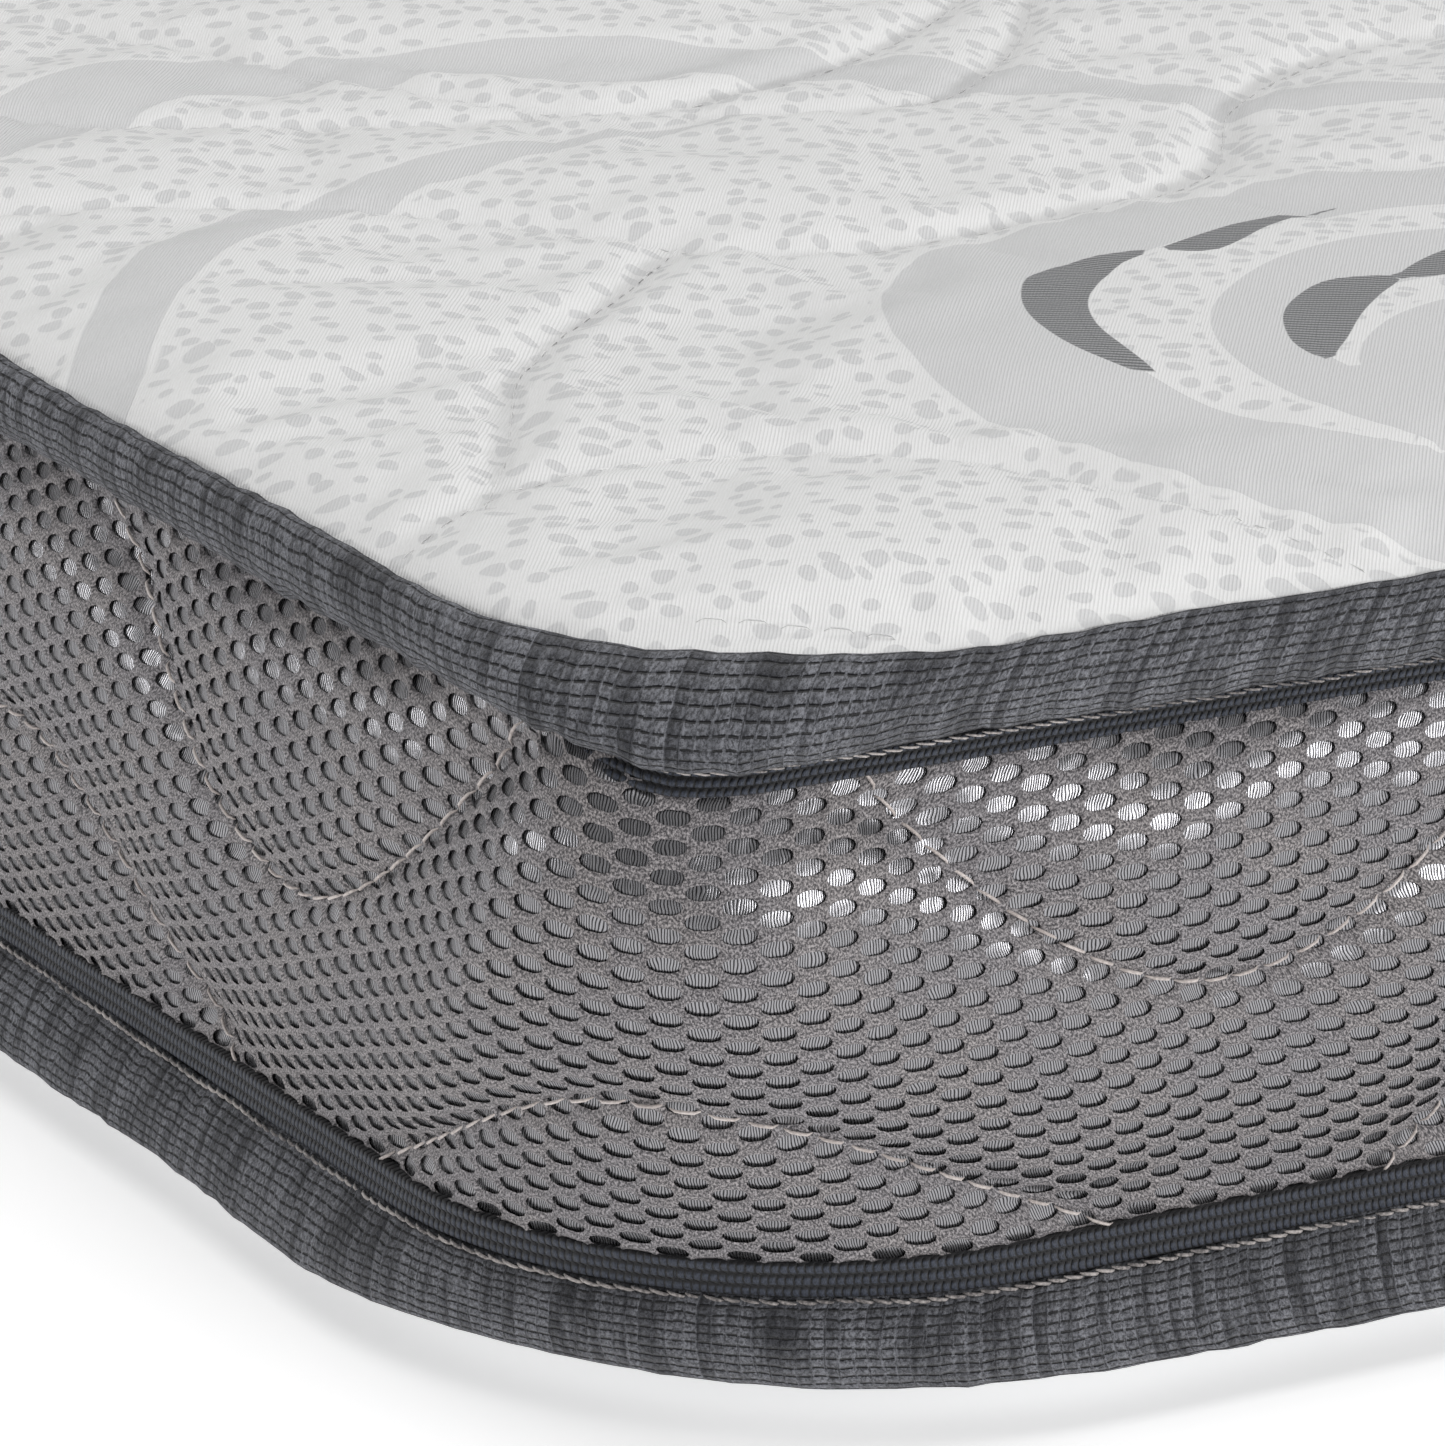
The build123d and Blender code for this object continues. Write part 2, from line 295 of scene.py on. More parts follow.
def along_edge(u, inset, radius):
    """X, Y and the outward direction at a distance u along the line, for an inset and a corner radius."""
    u, inset, radius = np.broadcast_arrays(np.asarray(u, float), inset, radius)
    x, y, nx, ny = (np.zeros(u.shape) for _ in range(4))
    for k, corner_u in enumerate(CORNER_AT):
        after, before = (HALF_LENGTH, HALF_WIDTH) if k % 2 == 0 else (HALF_WIDTH, HALF_LENGTH)
        after_u, before_u = (HALF_X, HALF_Y) if k % 2 == 0 else (HALF_Y, HALF_X)
        w = (u - corner_u + PERIMETER / 2) % PERIMETER - PERIMETER / 2
        here = (w >= -before_u) & (w < after_u)
        a, b = after - inset, before - inset
        w = w * np.where(w >= 0, half_side(a, radius) / after_u, half_side(b, radius) / before_u)
        turn = np.clip(w / radius, -pi / 4, pi / 4)
        px = radius - a + radius * np.cos(1.25 * pi + turn) + np.maximum(w - radius * pi / 4, 0)
        py = radius - b + radius * np.sin(1.25 * pi + turn) + np.maximum(-w - radius * pi / 4, 0)
        c, s = (1, 0, -1, 0)[k], (0, 1, 0, -1)[k]
        qx, qy = np.cos(1.25 * pi + turn), np.sin(1.25 * pi + turn)
        for target, value in ((x, c * px - s * py), (y, s * px + c * py)):
            target[here] = value[here]
        for target, value in ((nx, c * qx - s * qy), (ny, s * qx + c * qy)):
            target[here] = value[here]
    return x, y, nx, ny


def end_share(u):
    """0 along the two long sides and 1 along the two ends, with a smooth change round each corner."""
    share = np.clip((np.abs(along_edge(u, 4.0, 45.0)[2]) - 0.62) / 0.36, 0, 1)
    return share * share * (3 - 2 * share)


def run_length(x, y):
    """Distance along a line at each of its points, from 0 at the first."""
    return np.concatenate([[0], np.cumsum(np.hypot(np.diff(x), np.diff(y)))])


def ripple(u, wavelength, seed, spread=0.5, waves=5):
    """Soft noise along the closed line, from -1 to 1: a few waves of about one length, seeded."""
    pick = np.random.default_rng(seed)
    total = np.zeros(np.shape(u))
    for _ in range(waves):
        count = max(1, round(PERIMETER / wavelength * (1 + spread * pick.uniform(-1, 1))))
        total = total + np.sin(2 * pi * count * np.asarray(u) / PERIMETER + pick.uniform(0, 2 * pi))
    return total / waves**0.5 / 1.4


print(f"the line is {PERIMETER:.0f} mm round")

# %% [markdown]
# ## Heights of the edge
# The seams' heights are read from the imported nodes, so the cloths meet where the real pieces do. Between them
# only the corner's rounding has to be said.

# %% Seam heights


def z_of(node, end):
    """Height in millimetres of a node's lowest (0) or highest (1) point."""
    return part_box(node)[end].z / MM


BASE_SEAM_Z = z_of("base_panel_cloth", 1)
LOW_STITCH_Z = z_of("bottom_binding_tape", 0)
MESH_LOW_Z = z_of("bottom_binding_tape", 1)
MESH_HIGH_Z = z_of("top_binding_tape", 0)
HIGH_STITCH_Z = z_of("top_binding_tape", 1)
TOP_SEAM_Z = z_of("top_panel_cloth", 0)


def corner_radius(z):
    """Corner rounding at a height: wide at the floor, tightest under the top roll, wider at the panel."""
    heights = (0, LOW_STITCH_Z - 11, LOW_STITCH_Z, MESH_LOW_Z, MESH_HIGH_Z, HIGH_STITCH_Z, TOP_SEAM_Z)
    return np.interp(z, heights, (76, 74, 54, 50, 18, 21, 45))


print("seams at", [round(z, 1) for z in (BASE_SEAM_Z, LOW_STITCH_Z, MESH_LOW_Z, MESH_HIGH_Z, TOP_SEAM_Z)])

# %% [markdown]
# ## Meshes from grids of points
# Most strips are a grid of points bent round the mattress. One helper turns such a grid into a mesh, closed
# round the line where its ends meet, with a UV map in metres of cloth. Patterns that follow the cloth read
# that map, so a weave keeps its real size and never slides.

# %% Grid helper


def mesh_from(name, points, faces, uv=None, material=None):
    """Object from points in millimetres and equal-sided faces, smooth, with a UV per corner in metres."""
    mesh = bpy.data.meshes.new(name)
    points = np.asarray(points, np.float32).reshape(-1, 3) * MM
    faces = np.asarray(faces, np.int32)
    mesh.vertices.add(len(points))
    mesh.vertices.foreach_set("co", points.ravel())
    mesh.loops.add(faces.size)
    mesh.loops.foreach_set("vertex_index", faces.ravel())
    mesh.polygons.add(len(faces))
    mesh.polygons.foreach_set("loop_start", np.arange(0, faces.size, faces.shape[1], dtype=np.int32))
    mesh.update(calc_edges=True)
    mesh.polygons.foreach_set("use_smooth", np.ones(len(faces), bool))
    if uv is not None:
        layer = mesh.uv_layers.new(name="UVMap")
        layer.data.foreach_set("uv", np.asarray(uv, np.float32).ravel() * MM)
    mesh.validate()
    if material:
        mesh.materials.append(material)
    return placed(name, mesh)


def keep(mesh, name, values, kind="FLOAT", field="value"):
    """Keep a number on every point of a mesh, for a material or a node tree to read."""
    kept = mesh.attributes.new(name, kind, "POINT")
    kept.data.foreach_set(field, np.asarray(values, np.float32).ravel())


def keep_outward(mesh, directions):
    """Keep the outward direction on every point of a mesh."""
    keep(mesh, "out", directions, "FLOAT_VECTOR", "vector")


def grid_quads(columns, rows, round_u, round_v=False):
    """Corner indices of a grid's quads, and each corner's own column and row before any wrap."""
    i, j = np.meshgrid(
        np.arange(columns if round_u else columns - 1),
        np.arange(rows if round_v else rows - 1),
        indexing="ij",
    )
    column = np.stack([i, i + 1, i + 1, i], -1).reshape(-1, 4)
    row = np.stack([j, j, j + 1, j + 1], -1).reshape(-1, 4)
    return (column % columns) * rows + row % rows, column, row


def strip(name, u, across, points, material, round_v=False):
    """Strip of cloth round the mattress: points is a grid, u along the edge and across in millimetres."""
    columns, rows = points.shape[:2]
    faces, column, row = grid_quads(columns, rows, True, round_v)
    u_corner = np.append(u, PERIMETER)[column]
    v_corner = np.append(across, across[-1] + (across[-1] - across[-2]))[row]
    return mesh_from(name, points, faces, np.stack([u_corner, v_corner], -1), material)


def ring_points(u, inset, z):
    """Points at an inset and height along the line; both may vary along u and across."""
    x, y, _, _ = along_edge(u[:, None], inset, corner_radius(z))
    return np.stack([x, y, np.broadcast_to(z, x.shape)], -1)


def steps(length):
    """Even places round the line, about a length apart."""
    return np.linspace(0, PERIMETER, round(PERIMETER / length), endpoint=False)


print("grid helpers ready")

# %% [markdown]
# ## The border's shape
# The border is spacer mesh over a little wadding, quilted through in two waves. Under the tapes it is held
# tight, and between them it bellies out, more above than below, because it hangs from the top tape. The waves
# pull it in again. All that is a rule, so it is written as one: a profile from tape to tape, and a depth that
# grows towards the nearest quilting line. Everything on the border asks the same function where it lies.

# %% Border profile and quilting waves
HEM_BEHIND_TAPE = 2.0
TAPE_TUCK = 3.0
WAVES = 40


def border_section():
    """Heights, insets and the distance along the cloth, from one tape's hem to the other's."""
    rise = np.linspace(0, 1, 400)
    z = MESH_LOW_Z + (MESH_HIGH_Z - MESH_LOW_Z) * rise
    inset = 8.0 - 1.1 * rise - 7.3 * np.sin(pi * rise**1.25) ** 0.75
    z = np.concatenate([[z[0] - HEM_BEHIND_TAPE], z, [z[-1] + HEM_BEHIND_TAPE]])
    inset = np.concatenate([[inset[0] + 0.9], inset, [inset[-1] + 1.0]])
    return z, inset, run_length(z, inset)


SECTION_Z, SECTION_INSET, SECTION_V = border_section()
BORDER_CLOTH = SECTION_V[-1]
SECTION_TILT = np.arctan2(np.gradient(SECTION_INSET, SECTION_V), np.gradient(SECTION_Z, SECTION_V))


def wave(u, start, count=WAVES):
    """A wave round the closed line, from 0 at its start to 1 half a wavelength on."""
    return (1 - np.cos(2 * pi * count * (u - start) / PERIMETER)) / 2


def high_wave(u):
    """How far up the cloth the upper quilting line runs."""
    z = 51 + 37.5 * wave(u, 73) + 0.6 * ripple(u, 90, 3)
    return np.interp(z, SECTION_Z, SECTION_V) + np.maximum(z - SECTION_Z[-1], 0)


def low_wave(u):
    """How far up the cloth the lower quilting line runs; it sways a little every second wave."""
    z = 43 + 8 * wave(u, 2, WAVES // 2) - 29 * wave(u, 2) + 0.6 * ripple(u, 90, 4)
    return np.interp(z, SECTION_Z, SECTION_V) - np.maximum(SECTION_Z[0] - z, 0)


def quilt_depth(u, v):
    """How far the quilting pulls the border in at a place on its cloth."""
    nearest = np.full(np.broadcast_shapes(np.shape(u), np.shape(v)), 99.0)
    for line in (high_wave, low_wave):
        slope = (line(u + 1) - line(u - 1)) / 2
        nearest = np.minimum(nearest, np.abs(v - line(u)) / np.sqrt(1 + slope**2))
    return 1.5 * np.exp(-((nearest / 2.4) ** 2)) + 1.6 * np.exp(-((nearest / 11) ** 2))


def border_points(u, v, lift=0.0):
    """Points and outward directions of the border at places on its cloth."""
    u, v = np.broadcast_arrays(u, v)
    tilt = np.interp(v, SECTION_V, SECTION_TILT)
    z, inset = np.interp(v, SECTION_V, SECTION_Z), np.interp(v, SECTION_V, SECTION_INSET)
    from_tape = np.minimum(v, BORDER_CLOTH - v) - HEM_BEHIND_TAPE
    free = np.clip(from_tape / 9, 0, 1)
    wrinkle = 0.35 * ripple(u + 0.25 * v, 9, 5) * np.exp(-np.maximum(from_tape, 0) / 5)
    soft = 0.5 * ripple(u - 0.5 * v, 45, 6) * free
    push = lift - quilt_depth(u, v) * np.clip(0.25 + from_tape / 6, 0, 1) + soft + wrinkle
    x, y, nx, ny = along_edge(u, inset, corner_radius(z))
    z = z + TAPE_TUCK * end_share(u) * np.clip((z - MESH_LOW_Z) / (MESH_HIGH_Z - MESH_LOW_Z), 0, 1.1) ** 2
    level = np.cos(tilt)
    points = np.stack([x + nx * level * push, y + ny * level * push, z + np.sin(tilt) * push], -1)
    return points, np.stack([nx * level, ny * level, np.sin(tilt)], -1)


print(f"border cloth {BORDER_CLOTH:.1f} mm from hem to hem, {WAVES} waves round it")

# %% [markdown]
# ## Running a node tree once
# Geometry Nodes make what repeats. Each tree below is built in code and run once on a host mesh: its inputs are
# set by the sockets' identifiers, the result is taken as a plain mesh, and the modifier goes.

# %% Geometry Nodes helpers


class Tree(Wiring):
    """One geometry node tree and its named inputs."""

    def __init__(self, name):
        self.tree = bpy.data.node_groups.new(name, "GeometryNodeTree")
        self.values = {}
        for way in ("INPUT", "OUTPUT"):
            self.tree.interface.new_socket("Geometry", in_out=way, socket_type="NodeSocketGeometry")
        self.start = self.tree.nodes.new("NodeGroupInput")
        self.end = self.tree.nodes.new("NodeGroupOutput")

    def input(self, name, kind, value):
        """Cut foam: small round cells that are darker inside, painted shade in the pores."""
        item = self.tree.interface.new_socket(name, in_out="INPUT", socket_type=f"NodeSocket{kind}")
        self.values[item.identifier] = value
        return self.start.outputs[name]
    # painted shade: each cell's middle is darkened to seven tenths of the foam's colour

    def kept(self, name):
        """Vector kept on the points or corners under a name."""
        return self.node("GeometryNodeInputNamedAttribute", {"data_type": "FLOAT_VECTOR"}, Name=name).outputs[0]

    def close(self, geometry, material):
        """Realise what the tree made, give it its material and end the tree."""
        real = self.node("GeometryNodeRealizeInstances", Geometry=geometry)
        smooth = self.node("GeometryNodeSetShadeSmooth", Geometry=real.outputs[0])
        painted = self.node("GeometryNodeSetMaterial", Geometry=smooth.outputs[0], Material=material)
        self.feed(self.end.inputs[0], painted.outputs[0])

    def run(self, host):
        """Run the tree on a host and keep the result as the host's plain mesh."""
        modifier = host.modifiers.new(self.tree.name, "NODES")
        modifier.node_group = self.tree
        for identifier, value in self.values.items():
            modifier[identifier] = value
        ready = host.evaluated_get(bpy.context.evaluated_depsgraph_get())
        made = bpy.data.meshes.new_from_object(ready)
        host.modifiers.clear()
        host.data = made
        print(f"{host.name}: {sum(len(p.vertices) - 2 for p in made.polygons)} triangles")
        return host


print("node tree helpers ready")

# %% [markdown]
# ## Materials of the border
# Spacer mesh is two knitted faces with springy threads between them. The outer face is an open net of fine warm
# grey yarn. Through its oval holes shine the spacer threads, smooth and upright, which flash where they face
# the light. So the net and the threads behind it are two pieces with two materials: the first matt and
# speckled, the second dark and glossy with fine upright ribs, painted lighter on their crests and near black
# between them as shade.

# %% Spacer mesh materials
SPACER_PITCH = 0.00034


def net_material():
    cloth = Recipe("spacer_net", roughness=0.62, specular=0.35)
    flat = cloth.coordinates("UV")
    fine = cloth.noise(cloth.scaled(flat, (5200.0, 3000.0, 1), radians(30)), 1.0, 1.0)
    speckle = cloth.noise(flat, 3400.0, 2.0, 0.7)
    patches = cloth.noise(flat, 60.0, 2.0)
    yarn = cloth.math("MULTIPLY_ADD", speckle, 0.6, cloth.math("MULTIPLY", fine, 0.4))
    dark, light = (0.054, 0.050, 0.054, 1), (0.44, 0.414, 0.420, 1)
    shade = cloth.mix(cloth.ramp(yarn, 0.40, 0.66), dark, light)
    tint = cloth.mix(cloth.ramp(patches, 0.35, 0.65), (0.92, 0.92, 0.94, 1), (1.0, 0.985, 0.97, 1))
    return cloth.finish(cloth.mix(1.0, shade, tint, "MULTIPLY"), yarn, 0.00022, 1.0, sheen=0.12)


def spacer_material():
    thread = Recipe("spacer_threads", roughness=0.3, specular=0.8)
    thread.shader.inputs["Metallic"].default_value = 0.85
    flat = thread.coordinates("UV")
    sway = thread.math("MULTIPLY", thread.noise(flat, 380.0, 1.0), 0.0011)
    phase = thread.math("MULTIPLY", thread.math("ADD", thread.parts(flat)[0], sway), pi / SPACER_PITCH)
    round_thread = thread.math("ABSOLUTE", thread.math("SINE", phase))
    lanes = thread.noise(thread.scaled(flat, (1 / SPACER_PITCH, 120.0, 1)), 1.0, 1.0)
    # painted shade: each rib's colour runs from lighter on its crest to near black between ribs
    color = thread.mix(thread.ramp(round_thread, 0.2, 0.95), (0.012, 0.012, 0.014, 1), (0.34, 0.336, 0.352, 1))
    rough = thread.ramp(lanes, 0.3, 0.7, 0.20, 0.34)
    lean = thread.noise(flat, 260.0, 1.0)
    height = thread.math("MULTIPLY_ADD", lean, 4.0, round_thread)
    return thread.finish(color, height, 0.000024, 1.0, roughness=rough)


NET = net_material()
SPACER_THREADS = spacer_material()
print("spacer mesh materials ready")

# %% [markdown]
# ## The net's holes
# A knitted net repeats one cell: a hexagon of yarn round one oval hole, in columns that step half a cell each.
# A bump map would leave the holes closed, so the net is real: one small tile is set out flat on a grid of
# points by Geometry Nodes, and then every corner of it moves to where its flat place lies on the border. The
# cloth's UV map is what links the flat net with the bent one.

# %% The net tile and the carrier it lies on
HOLE_PITCH, NET_ROWS = 7.9, 20
NET_COLUMNS = 2 * round(PERIMETER / HOLE_PITCH)
COLUMN_PITCH, ROW_PITCH = PERIMETER / NET_COLUMNS, BORDER_CLOTH / NET_ROWS
HOLE_HALF_WIDTH, HOLE_HALF_HEIGHT, HOLE_POINTS = 1.92, 0.90, 10
HOLE_SQUARENESS = 0.75
NET_TOP, NET_RIM = 0.20, -0.14
THREADS_LIFT, BATT_LIFT = -0.46, -1.9


def net_tile():
    """One hexagon with an oval hole; the yarn between the holes stands higher than their rims."""
    a, b, n = COLUMN_PITCH, ROW_PITCH, HOLE_POINTS
    upper = [(2 * a / 3, 0), (a / 3, b / 2), (-a / 3, b / 2)]
    outer = upper + [(-x, -y) for x, y in upper]
    turns = np.arange(n) * 2 * pi / n
    shape = [np.sign(f) * abs(f) ** HOLE_SQUARENESS for f in np.cos(turns)]
    rim = [(HOLE_HALF_WIDTH * c, HOLE_HALF_HEIGHT * np.sin(t)) for c, t in zip(shape, turns)]
    points = [(x, y, NET_TOP) for x, y in outer] + [(x, y, NET_RIM) for x, y in rim]
    faces, i, j = [], 0, 0
    while i < 6 or j < n:
        here, there = i % 6, 6 + j % n
        if j / n <= i / 6 - 1e-9 or i == 6:
            faces.append((here, there, 6 + (j + 1) % n)[::-1])
            j += 1
        else:
            faces.append((here, there, (i + 1) % 6)[::-1])
            i += 1
    return mesh_from("net_tile", points, faces)


def border_grid(name, u_step, v_step, lift, material=None):
    """Strip of the border's surface with its outward directions kept on its points."""
    u = steps(u_step)
    v = np.linspace(0, BORDER_CLOTH, round(BORDER_CLOTH / v_step))
    points, out = border_points(u[:, None], v[None, :], lift)
    piece = strip(name, u, v, points, material)
    keep_outward(piece.data, out)
    return piece


tile = net_tile()
carrier = border_grid("mesh_net", 2.2, 1.5, 0.0)
print(f"hole pitch {COLUMN_PITCH:.2f} x {ROW_PITCH:.2f} mm")

# %% Net by Geometry Nodes


def net_tree():
    knit = Tree("knit_net")
    columns = knit.input("Columns", "Int", NET_COLUMNS)
    rows = knit.input("Rows", "Int", NET_ROWS)
    pitch = knit.input("Column pitch", "Float", COLUMN_PITCH * MM)
    step = knit.input("Row pitch", "Float", ROW_PITCH * MM)
    perimeter = knit.input("Perimeter", "Float", PERIMETER * MM)
    top = knit.input("Cloth width", "Float", BORDER_CLOTH * MM)
    shape = knit.input("Tile", "Object", tile)
    index = knit.node("GeometryNodeInputIndex").outputs[0]
    column = knit.math("MODULO", index, columns)
    row = knit.math("FLOOR", knit.math("DIVIDE", index, columns))
    half = knit.math("MULTIPLY", knit.math("MODULO", column, 2.0), 0.5)
    x = knit.math("MULTIPLY", column, pitch)
    y = knit.math("MULTIPLY", knit.math("ADD", row, half), step)
    place = knit.node("ShaderNodeCombineXYZ", X=x, Y=y)
    points = knit.node(
        "GeometryNodePoints", Count=knit.math("MULTIPLY", columns, rows), Position=place.outputs[0]
    )
    info = knit.node("GeometryNodeObjectInfo", Object=shape)
    tiles = knit.node(
        "GeometryNodeInstanceOnPoints", Points=points.outputs[0], Instance=info.outputs["Geometry"]
    )
    flat = knit.node("GeometryNodeRealizeInstances", Geometry=tiles.outputs[0])
    where = knit.node("GeometryNodeInputPosition").outputs[0]
    split = knit.node("ShaderNodeSeparateXYZ", Vector=where)
    wrapped = knit.math("FLOORED_MODULO", split.outputs["X"], perimeter)
    highest = knit.math("SUBTRACT", top, 1e-6)
    held = knit.math("MINIMUM", knit.math("MAXIMUM", split.outputs["Y"], 1e-6), highest)
    at = knit.node("ShaderNodeCombineXYZ", X=wrapped, Y=held).outputs[0]
    uv = knit.node(
        "GeometryNodeStoreNamedAttribute", {"data_type": "FLOAT2", "domain": "CORNER"},
        Geometry=flat.outputs[0], Name="UVMap", Value=where,
    )
    carrier_uv = knit.kept("UVMap")
    sampled = []
    for value in (knit.node("GeometryNodeInputPosition").outputs[0], knit.kept("out")):
        sampler = knit.node(
            "GeometryNodeSampleUVSurface", {"data_type": "FLOAT_VECTOR"}, Mesh=knit.start.outputs["Geometry"],
            Value=value, Source_UV_Map=carrier_uv, Sample_UV=at,
        )
        sampled.append(sampler.outputs["Value"])
    lifted = knit.node("ShaderNodeVectorMath", {"operation": "MULTIPLY_ADD"})
    for socket, value in zip(lifted.inputs, (sampled[1], split.outputs["Z"], sampled[0])):
        knit.feed(socket, value)
    bent = knit.node("GeometryNodeSetPosition", Geometry=uv.outputs[0], Position=lifted.outputs[0])
    joined = knit.node("GeometryNodeMergeByDistance", Geometry=bent.outputs[0], Distance=2e-5)
    knit.close(joined.outputs[0], NET)
    return knit


mesh_net = net_tree().run(carrier)
bpy.data.objects.remove(tile)
mesh_threads = border_grid("mesh_threads", 3.0, 2.0, THREADS_LIFT, SPACER_THREADS)

# %% [markdown]
# ## The wadding behind the mesh
# A thin fibre batt lies behind the spacer threads and is pulled in with them at every quilting line. It hardly
# shows, but through an open net it must be there, or the holes would look into nothing.

# %% Border wadding


def fibre_material(name, light=(0.5, 0.5, 0.5, 1), dark=(0.36, 0.36, 0.36, 1)):
    """Loose matted fibres: fine tangled noise in colour and height."""
    batt = Recipe(name, roughness=0.95, specular=0.1)
    place = batt.coordinates()
    tangle = batt.noise(batt.scaled(place, (1, 1, 2.5)), 900.0, 4.0, 0.7)
    return batt.finish(batt.mix(tangle, dark, light), tangle, 0.0005, 0.7, sheen=0.3)


border_batt = border_grid("border_batt", 6.0, 4.0, BATT_LIFT, fibre_material("border_fibre"))
print("border wadding", len(border_batt.data.polygons), "faces")

# %% [markdown]
# ## Chenille rolls
# Chenille yarn is a core with short velvet pile all round, so the cloth looks like rows of soft nubs with thin
# gaps, painted near black as shade. A strip of it is folded over a soft cord and sewn into the top seam, and
# another into the bottom one. The top roll leans out over its tape, further at the ends than along the sides.
# The bottom roll flares out at its foot and turns under. Each is a closed section drawn as a few points (inset
# and height in millimetres), smoothed, and swept round the line, with small gathers where the stitching pulls.

# %% Chenille
WARP_PITCH, WEFT_PITCH = 0.00155, 0.00120


def chenille_material():
    """Rows of nubs, gaps between the rows and narrower gaps between the yarns, painted near black as shade, and
    pile over both.
    """
    pile = Recipe("chenille_cloth", roughness=0.93, specular=0.12)
    flat = pile.coordinates("UV")
    wander = pile.math("MULTIPLY", pile.noise(flat, 260.0, 1.0), 0.0008)
    along, up = pile.parts(flat)
    u = pile.math("DIVIDE", pile.math("ADD", along, wander), WARP_PITCH)
    v = pile.math("DIVIDE", pile.math("ADD", up, wander), WEFT_PITCH)
    nub_u = pile.math("ABSOLUTE", pile.math("SINE", pile.math("MULTIPLY", u, pi)))
    nub_v = pile.math("ABSOLUTE", pile.math("SINE", pile.math("MULTIPLY", v, pi)))
    yarn = pile.node("ShaderNodeCombineXYZ", X=pile.math("FLOOR", u), Y=0.0).outputs[0]
    shade_lane = pile.node("ShaderNodeTexWhiteNoise", {"noise_dimensions": "2D"}, Vector=yarn).outputs[0]
    tight = pile.noise(pile.scaled(flat, (330.0, 300.0, 1)), 1.0, 1.0)
    fuzz = pile.noise(pile.scaled(flat, (1, 0.8, 1)), 2600.0, 3.0, 0.75)
    tufts = pile.noise(pile.scaled(flat, (1.0, 0.6, 1)), 950.0, 1.0)
    rough_edge = pile.math("MULTIPLY_ADD", fuzz, 0.36, -0.18)
    between_rows = pile.ramp(pile.math("ADD", nub_v, rough_edge), 0.50, 0.26)
    row_gap = pile.math("MULTIPLY", between_rows, pile.ramp(nub_u, 0.20, 0.45))
    row_gap = pile.math("MULTIPLY", row_gap, pile.ramp(tight, 0.24, 0.36))
    between_yarns = pile.ramp(pile.math("ADD", nub_u, rough_edge), 0.34, 0.02)
    lane_gap = pile.math("MULTIPLY", between_yarns, pile.ramp(tight, 0.40, 0.66))
    gap = pile.math("MAXIMUM", row_gap, pile.math("MULTIPLY", lane_gap, 0.75))
    streak = pile.noise(pile.scaled(flat, (900.0, 130.0, 1)), 1.0, 2.0)
    tone = pile.math("MULTIPLY_ADD", shade_lane, 0.22, pile.math("MULTIPLY", streak, 0.78))
    grey = pile.mix(pile.ramp(tone, 0.28, 0.70), (0.062, 0.064, 0.074, 1), (0.26, 0.266, 0.295, 1))
    fuzzy = pile.mix(pile.ramp(fuzz, 0.36, 0.62), pile.mix(0.78, grey, (0.012, 0.012, 0.014, 1)), grey)
    # painted shade: the gaps between rows and between yarns go near black
    color = pile.mix(pile.math("MULTIPLY", gap, 0.97), fuzzy, (0.003, 0.003, 0.005, 1))
    nubs = pile.math("POWER", pile.math("MULTIPLY", nub_v, pile.math("MAXIMUM", nub_u, 0.5)), 0.5)
    pile_lift = pile.math("MULTIPLY_ADD", tufts, 0.7, pile.math("MULTIPLY", fuzz, 0.6))
    lift = pile.math("ADD", pile.math("MULTIPLY", nubs, 0.8), pile_lift)
    return pile.finish(color, lift, 0.00075, 1.0, sheen=0.15)


CHENILLE = chenille_material()


def smooth_line(points, per, closed=False):
    """Catmull-Rom line through points, with a number of steps in each span."""
    p = np.asarray(points, float)
    if closed:
        p = np.concatenate([p[-1:], p, p[:2]])
    else:
        p = np.concatenate([2 * p[:1] - p[1:2], p, 2 * p[-1:] - p[-2:-1]])
    t = (np.arange(per) / per)[:, None]
    spans = [
        ((2 * b) + (c - a) * t + (2 * a - 5 * b + 4 * c - d) * t**2 + (3 * b - a - 3 * c + d) * t**3) / 2
        for a, b, c, d in zip(p, p[1:], p[2:], p[3:])
    ]
    return np.concatenate(spans if closed else spans + [p[-2:-1]])


def roll(name, side, end, gathers, u_step=2.6, per=2):
    """Closed roll of chenille whose section goes from its side shape to its end shape round each corner."""
    side, end = (smooth_line(line[::-1], per, closed=True) for line in (side, end))
    u = steps(u_step)
    ends = end_share(u)[:, None]
    section = side[None] * (1 - ends[..., None]) + end[None] * ends[..., None]
    inset, z = section[..., 0], section[..., 1]
    v = run_length(*side.T)
    away = section - section.mean(1, keepdims=True)
    away = away / np.linalg.norm(away, axis=-1, keepdims=True)
    push = gathers(u[:, None], v[None, :], z)
    points = ring_points(u, inset + away[..., 0] * push, z + away[..., 1] * push)
    return strip(name, u, v, points, CHENILLE, True)


TOP_SIDE = [(9.6, 89.4), (8.0, 91.3), (6.2, 91.9), (4.6, 91.0), (3.5, 89.0), (3.3, 86.6), (4.1, 84.2),
            (5.6, 82.6), (7.4, 82.0), (9.6, 83.2), (10.2, 87.0)]
TOP_END = [(9.6, 89.8), (8.0, 91.9), (5.6, 92.5), (3.4, 91.2), (2.4, 89.0), (2.7, 86.9), (3.9, 85.3),
           (5.4, 84.5), (7.2, 84.2), (9.6, 84.8), (10.2, 87.4)]
LOW_SECTION = [(12.5, 14.5), (9.8, 17.5), (7.6, 17.1), (5.6, 15.3), (4.1, 12.7), (3.3, 10.0), (3.4, 7.8),
               (4.7, 6.4), (7.4, 5.8), (11.0, 5.9), (13.5, 9.0)]


